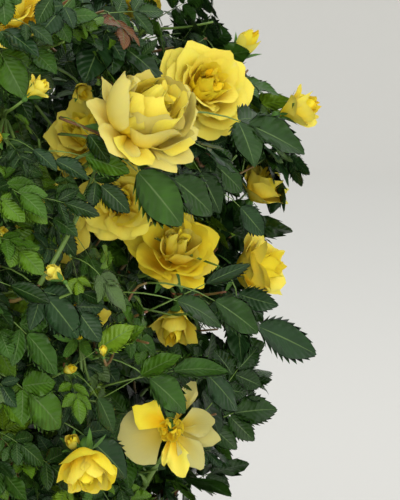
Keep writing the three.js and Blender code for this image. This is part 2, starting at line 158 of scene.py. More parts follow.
# Leaflets that the viewer sees: the places of root and tip in millimetres, half the width as a
# share of the length, and the tone
VIEWED_LEAFLETS = [
    (237, -287, 759, 280, -268, 710, 0.26, 3), (266, -260, 750, 306, -234, 718, 0.28, 2),
    (197, -314, 772, 234, -305, 760, 0.24, 4), (200, -309, 790, 218, -316, 769, 0.26, 0),
    (159, -335, 779, 179, -341, 765, 0.3, 1), (175, -328, 770, 202, -328, 757, 0.28, 1),
    (136, -346, 740, 154, -353, 725, 0.34, 6), (153, -341, 737, 171, -345, 724, 0.34, 6),
    (140, -345, 709, 165, -347, 704, 0.28, 4), (173, -330, 724, 194, -334, 714, 0.34, 2),
    (182, -327, 736, 210, -324, 726, 0.22, 0), (209, -309, 749, 234, -310, 728, 0.27, 0),
    (209, -248, 868, 194, -267, 832, 0.36, 1), (144, -321, 836, 176, -314, 843, 0.2, 2),
    (156, -302, 856, 176, -316, 840, 0.3, 3), (134, -315, 851, 152, -337, 823, 0.3, 4),
    (148, -340, 700, 167, -345, 682, 0.34, 6), (150, -329, 631, 178, -320, 597, 0.3, 3),
    (166, -327, 661, 194, -318, 625, 0.27, 1), (191, -311, 645, 208, -309, 620, 0.32, 1),
    (211, -306, 671, 229, -301, 644, 0.3, 5), (140, -342, 672, 171, -338, 658, 0.27, 0),
    (205, -294, 610, 234, -295, 630, 0.3, 7), (149, -316, 579, 179, -303, 547, 0.36, 4),
    (129, -325, 577, 150, -322, 554, 0.34, 6), (195, -268, 525, 230, -256, 489, 0.28, 1),
    (126, -303, 506, 144, -300, 482, 0.34, 3), (140, -305, 532, 161, -301, 514, 0.32, 2),
    (162, -280, 506, 184, -271, 483, 0.3, 2), (203, -278, 565, 218, -271, 533, 0.28, 2),
    (269, -253, 644, 314, -239, 626, 0.3, 2), (238, -260, 579, 271, -255, 599, 0.3, 4),
    (245, -252, 576, 281, -241, 544, 0.3, 3), (265, -234, 577, 317, -215, 581, 0.2, 3),
    (325, -173, 626, 327, -172, 570, 0.26, 1), (223, -283, 614, 240, -291, 629, 0.34, 6),
    (333, -125, 790, 392, -107, 764, 0.3, 2), (345, -111, 593, 407, -92, 563, 0.27, 1),
    (294, -229, 654, 334, -211, 671, 0.16, 0), (295, -195, 566, 329, -184, 531, 0.3, 1),
    (221, -242, 862, 259, -242, 837, 0.32, 0), (295, -213, 772, 326, -193, 753, 0.32, 1),
    (326, -174, 717, 349, -158, 689, 0.28, 1), (302, -213, 637, 346, -200, 607, 0.27, 2),
    (177, -345, 895, 165, -350, 877, 0.34, 2), (139, -345, 871, 168, -350, 855, 0.3, 1),
    (159, -340, 874, 178, -340, 862, 0.34, 2), (181, -320, 887, 166, -335, 868, 0.34, 1),
    (290, -200, 751, 309, -190, 713, 0.3, 0), (302, -170, 756, 332, -150, 729, 0.3, 2),
    (140, -352, 897, 143, -354, 875, 0.38, 3), (137, -350, 870, 149, -352, 857, 0.36, 2),
]

# Small blossoms that the viewer sees among the leaves: place, width across, azimuth and rise that
# each faces, form
VIEWED_BUDS = [
    ((0.160, -0.335, 0.823), 0.022, (-8, 38), "opening"),
    ((0.188, -0.230, 0.824), 0.020, (-70, -30), "opening"),
    ((0.178, -0.335, 0.678), 0.018, (-168, 42), "opening"),
    ((0.210, -0.300, 0.608), 0.013, (-90, 60), "bud"),
    ((0.182, -0.280, 0.523), 0.022, (-95, 50), "bud"),
]

# Leafless stretches of shoot that the viewer sees: where each starts and ends
VIEWED_SHOOTS = [((0.161, -0.325, 0.670), (0.207, -0.285, 0.756))]

# Finer growth: the shoots of the frame carry twigs, and all of them carry compound leaves
TWIG_SHARES = (0.28, 0.46, 0.62, 0.78, 0.9)
TWIG_LENGTHS = (0.05, 0.105)
TWIG_SHORTEST = 0.02
TWIG_RADII = (0.0017, 0.0011)
TWIG_LEAN = (40, 62)
TWIG_STEPS = 6
TWIG_BARE = 0.12
THICK_TWIG = 1.4
LEAF_SPACING = 0.021
LEAFLESS = 2.0  # a bare share past the end, for a twig without leaves
LEAF_LENGTHS = (0.08, 0.135)
LEAF_LEAN = (48, 72)
LAST_LEAN = 16
LEAF_MARKS = [  # places on a leaf: forward and to the side, as shares of its length
    (1, 0), (0.62, 0.3), (0.62, -0.3), (0.4, 0.25), (0.4, -0.25), (0.8, 0.12), (0.8, -0.12),
]
BARE_SHARES = dict(shoot=0.16, viewed=0.45, stem=0.04, cane=0.78)
DARK_SHARES = [0.27, 0.22, 0.22, 0.16, 0.08, 0.05]  # of the first tones, among the grown leaves
LEAF_YOUNG, LEAF_LIME, LEAF_BRONZE = 6, 7, 8  # places among the tones
STALK_RADII = np.array([0.0105, 0.008, 0.007, 0.0058, 0.004])  # as shares of a leaf's length

# By the count of pairs: how far along a leaf its end leaflet starts, and its length, then the same
# of each pair, all as shares of the leaf's length
LEAF_PLANS = {
    0: (0.57, 0.46, ()),
    1: (0.57, 0.46, ((0.5, 0.34),)),
    2: (0.65, 0.42, ((0.36, 0.31), (0.58, 0.37))),
    3: (0.68, 0.42, ((0.27, 0.25), (0.44, 0.31), (0.61, 0.35))),
}

# How far out in the crown twigs and leaves may grow, and the shares of a bloom's radius that they
# keep off it and out of its sight
TWIG_ROOM = dict(crown=0.93, blooms=1.0, sight=0.9)
LEAF_ROOM = dict(crown=1.03, blooms=1.12, sight=0.94)

UP = np.array([0.0, 0.0, 1.0])


# ---------------------------------------------------------------- numbers and vectors
def seeded(seed):
    """Numbers from 0 to 1 by Park and Miller's rule, as the frame was grown with."""
    state = seed

    def draw():
        nonlocal state
        state = state * 16807 % 2147483647
        return state / 2147483647

    return draw


def lerp(ends, share):
    """The value at a share of the way between two ends."""
    return ends[0] + (ends[1] - ends[0]) * share


def unit(v):
    """Vectors scaled to length one, along the last axis."""
    return v / np.maximum(np.linalg.norm(v, axis=-1, keepdims=True), 1e-12)


def dot(a, b):
    """Products of vectors along the last axis, which is kept."""
    return np.sum(a * b, axis=-1, keepdims=True)


def squared_to(face, way):
    """The unit vector nearest to a face that is square to a way."""
    return unit(face - way * dot(face, way))


def around(azimuth, radius, height):
    """Points at an azimuth and radius about the Z axis, at a height."""
    azimuth, radius, height = np.broadcast_arrays(azimuth, radius, height)
    return np.stack([radius * np.cos(azimuth), radius * np.sin(azimuth), height], -1).astype(float)


def aimed(azimuth, rise):
    """The unit vector with an azimuth, and a rise above level."""
    return around(azimuth, math.cos(rise), math.sin(rise))


def outward(p, nudge=0.0):
    """The level unit vector from the Z axis to a point. With a nudge, the axis itself has one."""
    return unit(np.array([p[0], p[1], 0.0]) + nudge)


def angle_between(a, b):
    """The angle between two vectors."""
    return math.acos(float(np.clip(dot(unit(a), unit(b))[0], -1, 1)))


def high_side(heading):
    """The unit vectors square to headings that point most upwards."""
    high = UP - heading * heading[..., 2:3]
    level = np.array([1.0, 0, 0]) - heading * heading[..., 0:1]
    return unit(np.where(np.linalg.norm(high, axis=-1, keepdims=True) < 0.05, level, high))


def beside(heading, turn):
    """The unit vector square to a heading, at a turn about it from its high side."""
    high = high_side(heading)
    return high * math.cos(turn) + np.cross(high, heading) * math.sin(turn)


def as_columns(rows):
    """Rows with the same names as one array for each name."""
    return {name: np.array([row[name] for row in rows]) for name in rows[0]}


def joined_columns(sets):
    """Several sets of columns, one after the other."""
    return {name: np.concatenate([columns[name] for columns in sets]) for name in sets[0]}


def chosen_rows(columns, chosen):
    """Some of the rows that columns hold."""
    return {name: column[chosen] for name, column in columns.items()}


# ---------------------------------------------------------------- growth, by the rule of the frame
def lobed(azimuth, height):
    """How much the crown's lobes leave of its radius: two waves around it, one of which winds with
    height."""
    lobes = np.sin(3 * azimuth + 0.6) + 0.7 * np.sin(5 * azimuth + height / 0.13)
    return 1 - LOBE_DEPTH * (1 - lobes) / 2


def crown_half(level):
    """The crown's reach above or below its waist, and how its outline bends there."""
    above = level > 0
    reach = np.where(above, BUSH_HEIGHT - CROWN_WAIST, CROWN_FOOT - CROWN_WAIST)
    return reach, np.where(above, SHOULDER_BEND, SKIRT_BEND)


def crown_share(p):
    """How far out in the crown points are: 0 on the axis at the waist and 1 on the surface."""
    reach, bend = crown_half(p[..., 2] - CROWN_WAIST)
    azimuth = np.arctan2(p[..., 1], p[..., 0])
    radius = np.hypot(p[..., 0], p[..., 1]) / (CROWN_RADIUS * lobed(azimuth, p[..., 2]))
    return radius**2 + np.abs((p[..., 2] - CROWN_WAIST) / reach) ** bend


def on_shell(azimuth, level, share):
    """The point of the shell at a share of the way out, at an azimuth and a level off the waist."""
    reach, bend = crown_half(level)
    height = CROWN_WAIST + level * share ** (1 / bend)
    radius = CROWN_RADIUS * np.sqrt(share * (1 - np.abs(level / reach) ** bend))
    return around(azimuth, radius * lobed(azimuth, height), height)


def bending(start, heading, end, arrival, steps):
    """Points on the cubic Bezier curve that leaves start on a heading and arrives at end on
    another."""
    pull = CURVE_PULL * np.linalg.norm(end - start)
    t = np.linspace(0, 1, steps + 1)[:, None]
    return (
        (1 - t) ** 3 * start
        + 3 * (1 - t) ** 2 * t * (start + heading * pull)
        + 3 * (1 - t) * t**2 * (end - arrival * pull)
        + t**3 * end
    )


def along(points, share):
    """The point and heading at a share of the way along a line of points."""
    place = share * (len(points) - 1)
    k = min(int(place), len(points) - 2)
    return points[k] + (points[k + 1] - points[k]) * (place - k), unit(points[k + 1] - points[k])


def line_length(line):
    """The length of a line of points."""
    return float(np.sum(np.linalg.norm(np.diff(line, axis=0), axis=1)))


def grow_canes():
    """The canes: each curves from its foot in the base stem to its tip, and owns a mass of
    foliage."""
    canes = []
    for level, tier in enumerate(TIERS):
        for i in range(tier["count"]):
            random = seeded(211 + 97 * level + 13 * i)
            azimuth = math.radians(tier["azimuth"] + 360 / tier["count"] * i)
            swing = math.radians(CANE_SWING) * (random() - 0.5)
            radius, height = tier["tip"]
            tip = around(azimuth + swing, radius, height + TIP_SPREAD * (random() - 0.5))
            reach = around(azimuth, *tier["reach"])
            arrival = unit(unit(reach - tip) + CANE_UPTURN * UP)
            foot = around(azimuth, *tier["foot"])
            heading = aimed(azimuth, math.radians(tier["rise"]))
            points = bending(foot, heading, tip, arrival, CANE_STEPS)
            canes.append(dict(
                name=f"{tier['name']}_cane_{i + 1}",
                mass=f"{tier['name']}_foliage_{i + 1}",
                line=bending(foot, heading, tip, arrival, CANE_MARK_STEPS),
                tip=tip,
                heading=unit(points[-1] - points[-2]),
                centre=around(azimuth, *tier["centre"]),
                reach=reach,
                radii=tier["radii"],
            ))
    return canes


def grow_blooms(canes):
    """The blooms: a place each for those in view, and the others spread over the crown."""
    blooms = []
    for at, across, faces, kind, shown in VIEWED_BLOOMS:
        at, faces = np.array(at), aimed(*np.radians(faces))
        blooms.append(dict(at=at, across=across, faces=faces, kind=kind, shown=shown))
    random = seeded(4021)
    k = 0
    while len(blooms) < BLOOM_COUNT:
        k += 1
        azimuth = k * GOLDEN_ANGLE
        height = lerp(BLOOM_HEIGHTS, math.sqrt(random()))
        across = lerp(BLOOM_WIDTHS, random())
        rise = math.radians(lerp(BLOOM_RISE, random()))
        swing = math.radians(BLOOM_SWING) * (random() - 0.5)
        outer = around(azimuth, CROWN_RADIUS, height)
        inward = -around(azimuth, 1.0, 0.0)
        while crown_share(outer) > BLOOM_SHARE:
            outer = outer + BLOOM_STEP * inward
        at = outer + BLOOM_DEPTH * across * inward
        is_crowded = any(np.linalg.norm(other["at"] - at) < BLOOM_SPACING for other in blooms)
        x, y, z = VIEWED_SIDE
        if not is_crowded and not (at[0] > x and at[1] < y and at[2] > z):
            kind = "splayed" if len(blooms) in SPLAYED else "full"
            faces = aimed(azimuth + swing, rise)
            blooms.append(dict(at=at, across=across, faces=faces, kind=kind, shown=0))
    centres = np.array([cane["centre"] for cane in canes])
    for bloom in blooms:
        bloom["cane"] = int(np.argmin(np.linalg.norm(centres - bloom["at"], axis=1)))
        raised = -PETAL_FOOT if bloom["kind"] == "spent" else 0.0
        bloom["head"] = bloom["at"] + bloom["faces"] * raised * bloom["across"] / 2
    return blooms


def viewed_ends():
    """The roots and the tips of the leaflets that the viewer sees."""
    ends = np.array([leaflet[:6] for leaflet in VIEWED_LEAFLETS]) / 1000
    return ends[:, :3], ends[:, 3:]


@lru_cache(maxsize=1)
def shown_details():
    """The points, with radii, that the viewer sees freely beside the blooms: three along each
    listed leaflet, one for each small blossom and eight along each leafless stretch."""
    roots, tips = viewed_ends()
    lengths = np.linalg.norm(tips - roots, axis=1)
    spots = [lerp((roots, tips), part) for part in (0.3, 0.55, 0.8)]
    buds = [bud[0] for bud in VIEWED_BUDS]
    parts = np.linspace(0.1, 0.8, 8)
    stretches = [lerp(np.array(ends), part) for ends in VIEWED_SHOOTS for part in parts]
    radii = [
        np.tile(lengths * 0.2, len(spots)),
        [0.6 * bud[1] for bud in VIEWED_BUDS],
        np.full(len(stretches), 0.005),
    ]
    return np.concatenate([*spots, buds, stretches]), np.concatenate(radii)


class Plant:
    """The grown plant: canes, blooms, stems and shoots, and the tests of the space they share."""

    def __init__(self):
        self.canes = grow_canes()
        self.blooms = grow_blooms(self.canes)
        self.centres = np.array([cane["centre"] for cane in self.canes])
        self.cane_marks = np.concatenate([cane["line"] for cane in self.canes])
        self.bloom_at = np.array([bloom["at"] for bloom in self.blooms])
        self.bloom_across = np.array([bloom["across"] for bloom in self.blooms])
        self.bloom_shown = np.array([bloom["shown"] for bloom in self.blooms])
        self.tips = self.grow_tips()
        self.stems = [self.grow_stem(cane) for cane in self.canes]
        self.shoots = [shoot for k in range(len(self.canes)) for shoot in self.grow_shoots(k)]

    def in_own_space(self, p, k):
        """Whether points lie nearer to the centre of mass k than to any other, less a gap."""
        distance = np.sum((p[..., None, :] - self.centres) ** 2, axis=-1)
        margin = 2 * CELL_GAP * np.linalg.norm(self.centres - self.centres[k], axis=1)
        is_own = distance - distance[..., k : k + 1] > margin
        is_own[..., k] = True
        return is_own.all(axis=-1)

    def grow_tips(self):
        """The tips of leafy shoots, evenly over the shell by the golden angle, but not under a
        bloom."""
        random = seeded(5003)
        tips = []
        for k in range(TIP_COUNT):
            level = lerp((CROWN_FOOT, BUSH_HEIGHT), (k + 0.5) / TIP_COUNT) - CROWN_WAIST
            tips.append(on_shell(k * GOLDEN_ANGLE + 0.2 * random(), level, TIP_SHARE))
        reach = self.bloom_across / 2 * (1 + PETAL_TIP) + TIP_SHADOW
        return [tip for tip in tips if (np.linalg.norm(self.bloom_at - tip, axis=1) > reach).all()]

    def grow_stem(self, cane):
        """The stem of a mass: straight on from just above its cane's tip, and then over to its
        reach."""
        start = cane["tip"] + cane["heading"] * JOINT_GAP
        bend_from = start + cane["heading"] * STRAIGHT_START
        arrival = unit(unit(cane["reach"] - start) + UP)
        ends = bend_from, cane["heading"], cane["reach"], arrival
        return dict(
            coarse=np.vstack([start, bending(*ends, STEM_STEPS)]),
            line=np.vstack([start, bending(*ends, STEM_LINE_STEPS)]),
        )

    def grow_shoot(self, k, end, arrival, own):
        """The shoot of mass k to an end. Of the places on the stem where it finds room all the
        way, it leaves from the one where its angle to the stem is nearest to the fork angle."""
        coarse, line = self.stems[k]["coarse"], self.stems[k]["line"]
        others = np.array([i != own for i in range(len(self.blooms))])
        found = None
        share, last, step = FORK_SHARES
        while share < last:
            point, heading = along(coarse, share)
            straight = end - point
            leaving = unit(heading + unit(straight))
            marks = bending(point, leaving, end, arrival, SHOOT_MARK_STEPS)
            room = marks[SHOOT_MARK_SKIP:-SHOOT_MARK_SKIP]
            strain = abs(angle_between(heading, straight) - math.radians(FORK_ANGLE))
            to_canes = np.linalg.norm(self.cane_marks[:, None] - room, axis=-1)
            to_blooms = np.linalg.norm(self.bloom_at[others, None] - room, axis=-1)
            is_clear = (
                (crown_share(room) < 1).all()
                and self.in_own_space(room, k).all()
                and (to_canes > LIMB_CLEARANCE).all()
                and (to_blooms > BLOOM_PASS * self.bloom_across[others, None]).all()
            )
            if is_clear and (found is None or strain < found[0]):
                found = strain, point, leaving
            share += step
        if found is None:
            return []
        _, point, leaving = found
        start = line[np.argmin(np.linalg.norm(line - point, axis=1))]
        return [dict(mass=k, bloom=own, line=bending(start, leaving, end, arrival, SHOOT_STEPS))]

    def grow_shoots(self, k):
        """All shoots of mass k: one to each of its own tips, and one to the back of each of its
        blooms."""
        shoots = []
        for tip in self.tips:
            if self.in_own_space(tip, k):
                shoots += self.grow_shoot(k, tip, unit(outward(tip) + UP), None)
        for i, bloom in enumerate(self.blooms):
            if bloom["cane"] == k:
                back = bloom["at"] - bloom["faces"] * BLOOM_DEPTH * bloom["across"]
                shoots += self.grow_shoot(k, back, bloom["faces"], i)
        return shoots

    def clear_of_blooms(self, p, share):
        """Whether points keep out of the balls around the blooms, at a share of their radius."""
        distance = np.linalg.norm(p[..., None, :] - self.bloom_at, axis=-1)
        return (distance > self.bloom_across / 2 * share).all(axis=-1)

    def clear_of_sight(self, p, share, with_details=True):
        """Whether points keep out of the way between the viewer and what stands free of leaves:
        the middles of some blooms, and the details that the viewer sees. Those blooms get the main
        light freely as well."""
        lit = self.bloom_shown > 0
        spots, radii = [self.bloom_at], [self.bloom_across / 2 * share * self.bloom_shown]
        if with_details:
            spots.append(shown_details()[0])
            radii.append(shown_details()[1])
        seen = np.concatenate(spots)
        at = np.concatenate([seen, self.bloom_at[lit]])
        radius = np.concatenate([*radii, self.bloom_across[lit] / 2 * KEY_SHARE])
        sources = np.repeat([VIEWER, KEY_PLACE], [len(seen), lit.sum()], axis=0)
        reach = np.repeat([SIGHT_REACH, KEY_REACH], [len(seen), lit.sum()])
        sight = unit(sources - at)
        offset = p[..., None, :] - at
        forward = np.sum(offset * sight, axis=-1)
        aside = np.linalg.norm(offset - forward[..., None] * sight, axis=-1)
        is_off = (forward < SIGHT_START) | (forward > reach) | (aside > radius)
        return is_off.all(axis=-1)

    def has_room(self, p, mass, crown, blooms, sight):
        """Whether points stay in the crown and in their mass's space, off the blooms, and out of
        the way of what the viewer sees."""
        return (
            (crown_share(p) < crown).all()
            and self.in_own_space(p, mass).all()
            and self.clear_of_blooms(p, blooms).all()
            and self.clear_of_sight(p, sight).all()
        )


@lru_cache(maxsize=1)
def plant():
    """The plant, grown once."""
    return Plant()


# ---------------------------------------------------------------- finer growth
def twig_to(foot, leaving, bare):
    """The twig that ends at a foot on a heading. It comes from the nearest place on a shoot or
    stem of its mass from which it meets no bloom."""
    grown = plant()
    mass = int(np.argmin(np.linalg.norm(grown.centres - foot, axis=1)))
    lines = [grown.stems[mass]["line"]]
    lines += [shoot["line"] for shoot in grown.shoots if shoot["mass"] == mass]
    starts = [
        (np.linalg.norm(line[k] - foot), i, k)
        for i, line in enumerate(lines) for k in range(len(line) // 4, len(line) - 1)
    ]
    for distance, i, k in sorted(starts):
        start, heading = lines[i][k], unit(lines[i][k + 1] - lines[i][k])
        line = bending(start, unit(heading + unit(foot - start)), foot, leaving, TWIG_STEPS)
        if distance > TWIG_SHORTEST and grown.clear_of_blooms(line[1:], 0.8).all():
            break
    return dict(mass=mass, line=line, bare=bare)


@lru_cache(maxsize=1)
def viewed_leaves():
    """The leaves that the viewer sees, each with an end leaflet that stands where it is listed,
    and a pair of leaflets unless they would hide a bloom. The leaf stalk leaves its twig outwards
    and bends over to the end leaflet's heading."""
    grown = plant()
    random = np.random.default_rng(83)
    found, carriers = [], []
    at, share, _ = LEAF_PLANS[1]
    for root, tip, (*_, width, tone) in zip(*viewed_ends(), VIEWED_LEAFLETS):
        toward, size = unit(tip - root), np.linalg.norm(tip - root)
        leaving = unit(0.9 * outward(root) + 0.4 * UP + 0.5 * toward)
        length = size / share
        foot = root - length * at * (leaving + toward) / 2
        carriers.append(twig_to(foot, leaving, BARE_SHARES["viewed"]))
        sway = np.append(random.uniform(-0.3, 0.3, 2), 0.0)
        face = squared_to(0.66 * unit(np.array(VIEWER) - root) + 0.6 * UP + sway, toward)
        aside = np.cross(face, toward) * 0.3 * length
        marks = root + toward * length * 0.06 + np.array([[-0.6], [-1.0], [0.6], [1.0]]) * aside
        is_clear = grown.clear_of_sight(marks, 0.96, with_details=False).all()
        found.append(dict(
            root=foot, way=leaving, sag=(toward - leaving) / (2 * at), face=face, length=length,
            width=width, loose=0.0, mass=carriers[-1]["mass"], pairs=1 if is_clear else 0,
            tone=tone, fine=True,
        ))
    return found, carriers


def viewed_shoots():
    """The stretches of shoot that the viewer sees, a little thicker than twigs, and the twig that
    leads to each."""
    found = []
    for start, end in np.array(VIEWED_SHOOTS):
        heading = unit(unit(end - start) + 0.25 * outward(start))
        foot = dict(twig_to(start, heading, LEAFLESS), thick=THICK_TWIG)
        line = bending(start, heading, end, unit(end - start), TWIG_STEPS)
        found += [foot, dict(foot, line=line)]
    return found


@lru_cache(maxsize=1)
def viewed_buds():
    """The small blossoms that the viewer sees, and the leafless twig of each."""
    buds, carriers = [], []
    for at, across, faces, kind in VIEWED_BUDS:
        at, faces = np.array(at), aimed(*np.radians(faces))
        buds.append(dict(at=at, head=at, across=across, faces=faces, kind=kind))
        carriers.append(twig_to(at - faces * 0.7 * across / 2, faces, LEAFLESS))
    return buds, carriers


@lru_cache(maxsize=1)
def twigs():
    """Side twigs of the leafy shoots. They leave by the golden angle, bend outwards and upwards,
    and are left out where four tries leave their mass's space or the crown, or run into a bloom.
    The twigs of what the viewer sees come after them."""
    grown = plant()
    random = np.random.default_rng(71)
    found = []
    for shoot in grown.shoots:
        turn = random.uniform(0, 2 * math.pi)
        for share in TWIG_SHARES:
            turn += GOLDEN_ANGLE
            start, heading = along(shoot["line"], share)
            lean = math.radians(random.uniform(*TWIG_LEAN))
            length = random.uniform(*TWIG_LENGTHS)
            for attempt in range(4):
                sideways = beside(heading, turn + attempt * 1.7)
                leaving = unit(heading * math.cos(lean) + sideways * math.sin(lean))
                arrival = unit(leaving + 0.45 * outward(start, 1e-6) + 0.35 * UP)
                end = start + length * unit(leaving + arrival)
                line = bending(start, leaving, end, arrival, TWIG_STEPS)
                starts_inside = grown.in_own_space(line[:2], shoot["mass"]).all()
                if starts_inside and grown.has_room(line[2:], shoot["mass"], **TWIG_ROOM):
                    found.append(dict(mass=shoot["mass"], line=line, bare=TWIG_BARE))
                    break
    return found + viewed_leaves()[1] + viewed_shoots() + viewed_buds()[1]


def leaf_marks(root, way, face, length):
    """Points over a compound leaf, at which its room is tested."""
    side = np.cross(face, way)
    return np.array([
        root + length * (way * forward + side * sidewise - face * 0.16 * forward**2)
        for forward, sidewise in LEAF_MARKS
    ])


def leaf_growth(p):
    """How leaves differ over the bush: their spacing and size, both smaller on the viewer's left,
    and larger than elsewhere on the right."""
    if p[0] < 0.235 and p[1] < -0.1 and crown_share(p) > 0.3:
        return LEAF_SPACING * 0.62, 0.55
    return LEAF_SPACING, 1.12 if p[0] > 0.24 else 0.95


def leaf_carriers():
    """What carries leaves: the line of each, its mass, the share from its foot that is bare, and
    whether a leaf stands on its tip."""
    grown = plant()
    return (
        [(shoot["line"], shoot["mass"], BARE_SHARES["shoot"], shoot["bloom"] is None)
         for shoot in grown.shoots]
        + [(twig["line"], twig["mass"], twig["bare"], True) for twig in twigs()]
        + [(stem["line"], k, BARE_SHARES["stem"], True) for k, stem in enumerate(grown.stems)]
        + [(cane["line"], k, BARE_SHARES["cane"], False) for k, cane in enumerate(grown.canes)]
    )


@lru_cache(maxsize=1)
def leaves():
    """Compound leaves along every shoot, twig and stem, one at each node, turned by the golden
    angle. A leaf that would leave its mass's space, touch a bloom or hide what the viewer sees is
    tried elsewhere around the shoot, from the fourth try on smaller, and then skipped."""
    grown = plant()
    random = np.random.default_rng(1009)
    found = list(viewed_leaves()[0])
    for line, mass, bare, leafy_tip in leaf_carriers():
        spacing, scale = leaf_growth(line[len(line) * 2 // 3])
        count = max(2, round(line_length(line) / spacing))
        turn = random.uniform(0, 2 * math.pi)
        for k in range(math.ceil(count * bare), count + 1):
            turn += GOLDEN_ANGLE
            is_last = k == count
            if is_last and not leafy_tip:
                continue
            root, heading = along(line, k / count)
            lean = math.radians(LAST_LEAN if is_last else random.uniform(*LEAF_LEAN))
            size = random.uniform(*LEAF_LENGTHS) * scale
            tilt = np.append(random.uniform(-0.45, 0.45, 2), 0.0)
            droop, swerve = random.uniform(0.1, 0.3), random.uniform(-0.12, 0.12)
            small = random.random()
            tone = leaf_tone(root, 1 - k / count if leafy_tip else 0.6, random)
            for attempt in range(6):
                sideways = beside(heading, turn + 2.1 * attempt)
                way = unit(heading * math.cos(lean) + sideways * math.sin(lean) - 0.18 * UP)
                face = squared_to(0.62 * UP + 0.72 * outward(root, 1e-6) + tilt, way)
                shrunk = size * (1.0 if attempt < 3 else 0.7)
                marks = leaf_marks(root, way, face, shrunk)
                if grown.has_room(marks, mass, **LEAF_ROOM):
                    found.append(dict(
                        root=root, way=way, sag=np.cross(face, way) * swerve - face * droop,
                        face=face, length=shrunk, width=0.3, loose=1.0, mass=mass,
                        pairs=1 if small < 0.12 else (3 if small > 0.66 else 2),
                        tone=tone, fine=is_near_viewer(root + way * shrunk * 0.5),
                    ))
                    break
    return found


def leaf_tone(root, age, random):
    """The tone of a leaf. Young ones, at the tips of some shoots and more often on the viewer's
    left, are bright, and a few at the very tips are bronze. The others take one of the dark and
    middle greens."""
    lot, young, bright = random.random(), random.random(), random.random()
    is_left = root[0] < 0.2 and root[1] < -0.12 and age < 0.55
    if age < 0.12 and young > 0.93:
        return LEAF_BRONZE
    if (age < 0.3 and young < 0.16) or (is_left and young < 0.27):
        return LEAF_YOUNG if bright < 0.6 else LEAF_LIME
    return int(np.searchsorted(np.cumsum(DARK_SHARES), lot * sum(DARK_SHARES) * 0.999))


def is_near_viewer(p):
    """Whether a leaf is on the side of the bush that is seen from close by, where it gets finer
    leaflets."""
    return bool(p[0] > 0.1 and p[1] < 0.1 and p[2] > 0.44 and crown_share(p) > 0.5)


# ---------------------------------------------------------------- meshes
class Shell:
    """Points with four-sided and three-sided faces, the tone of each face, and each point's place
    on its blade."""

    def __init__(self, points, quads, triangles=(), uv=None, quad_tones=None, triangle_tones=None):
        self.points = np.asarray(points, float).reshape(-1, 3)
        self.quads = np.asarray(quads, int).reshape(-1, 4)
        self.triangles = np.asarray(triangles, int).reshape(-1, 3)
        self.uv = np.zeros((len(self.points), 2)) if uv is None else np.asarray(uv).reshape(-1, 2)
        self.quad_tones = np.zeros(len(self.quads), int) if quad_tones is None else quad_tones
        self.triangle_tones = (
            np.zeros(len(self.triangles), int) if triangle_tones is None else triangle_tones
        )

    @staticmethod
    def joined(shells):
        """Several shells as one."""
        starts = np.cumsum([0] + [len(shell.points) for shell in shells[:-1]])
        return Shell(
            np.concatenate([shell.points for shell in shells]),
            np.concatenate([shell.quads + start for shell, start in zip(shells, starts)]),
            np.concatenate([shell.triangles + start for shell, start in zip(shells, starts)]),
            np.concatenate([shell.uv for shell in shells]),
            np.concatenate([shell.quad_tones for shell in shells]),
            np.concatenate([shell.triangle_tones for shell in shells]),
        )


def copies(points, quads, triangles, uv, tones):
    """The same faces laid over each of n sets of points, with one tone for each set."""
    count, size = points.shape[:2]
    offset = (np.arange(count) * size)[:, None, None]
    quads = np.asarray(quads, int).reshape(-1, 4)
    triangles = np.asarray(triangles, int).reshape(-1, 3)
    tones = np.broadcast_to(tones, (count,))
    return Shell(
        points,
        quads + offset,
        triangles + offset,
        np.tile(uv, (count, 1)),
        np.repeat(tones, len(quads)),
        np.repeat(tones, len(triangles)),
    )


def grid_quads(rows, columns, wraps=False):
    """The four-sided faces of a grid of rows by columns, closed round its columns where it
    wraps."""
    steps = np.arange(rows - 1), np.arange(columns if wraps else columns - 1)
    row, column = np.meshgrid(*steps, indexing="ij")
    a, b = row * columns + column, row * columns + (column + 1) % columns
    return np.stack([a, b, b + columns, a + columns], axis=-1).reshape(-1, 4)


def closed_tube(rows, columns):
    """The faces of a closed tube: a grid that wraps round its columns, and a fan at each end. The
    fans' middle points come after the grid's, first the one at the start."""
    ring = np.arange(columns)
    after = (ring + 1) % columns
    last, low = (rows - 1) * columns, rows * columns
    fans = [
        np.stack([after, ring, np.full(columns, low)], axis=-1),
        np.stack([last + ring, last + after, np.full(columns, low + 1)], axis=-1),
    ]
    return grid_quads(rows, columns, wraps=True), np.concatenate(fans)


def tubes(lines, radii, sides, tones=0):
    """Closed tubes along n lines of m points: a ring square to the line at each point, of the
    radius given for it, and a low cap at each end."""
    lines = np.asarray(lines, float)
    count, steps = lines.shape[:2]
    radii = np.broadcast_to(radii, (count, steps))
    heading = unit(np.gradient(lines, axis=1))
    across = squared_to(high_side(unit(lines[:, -1:] - lines[:, :1])), heading)
    other = np.cross(heading, across)
    ring = np.arange(sides)
    turn = 2 * math.pi * ring / sides
    rings = lines[:, :, None] + radii[:, :, None, None] * (
        across[:, :, None] * np.cos(turn)[:, None] + other[:, :, None] * np.sin(turn)[:, None]
    )
    caps = np.stack([
        lines[:, 0] - heading[:, 0] * radii[:, :1] * 0.3,
        lines[:, -1] + heading[:, -1] * radii[:, -1:] * 0.5,
    ], axis=1)
    points = np.concatenate([rings.reshape(count, -1, 3), caps], axis=1)
    steps_along = np.linalg.norm(np.diff(lines, axis=1, prepend=lines[:, :1]), axis=-1)
    lengths = np.cumsum(steps_along, axis=1)[:, :, None]
    uv = np.stack([
        np.broadcast_to(part, (count, steps, sides)).reshape(count, -1)
        for part in (ring / sides, lengths)
    ], axis=-1)
    shell = copies(points, *closed_tube(steps, sides), np.zeros((points.shape[1], 2)), tones)
    shell.uv = np.concatenate([uv, uv[:, :1], uv[:, -1:]], axis=1).reshape(-1, 2)
    return shell


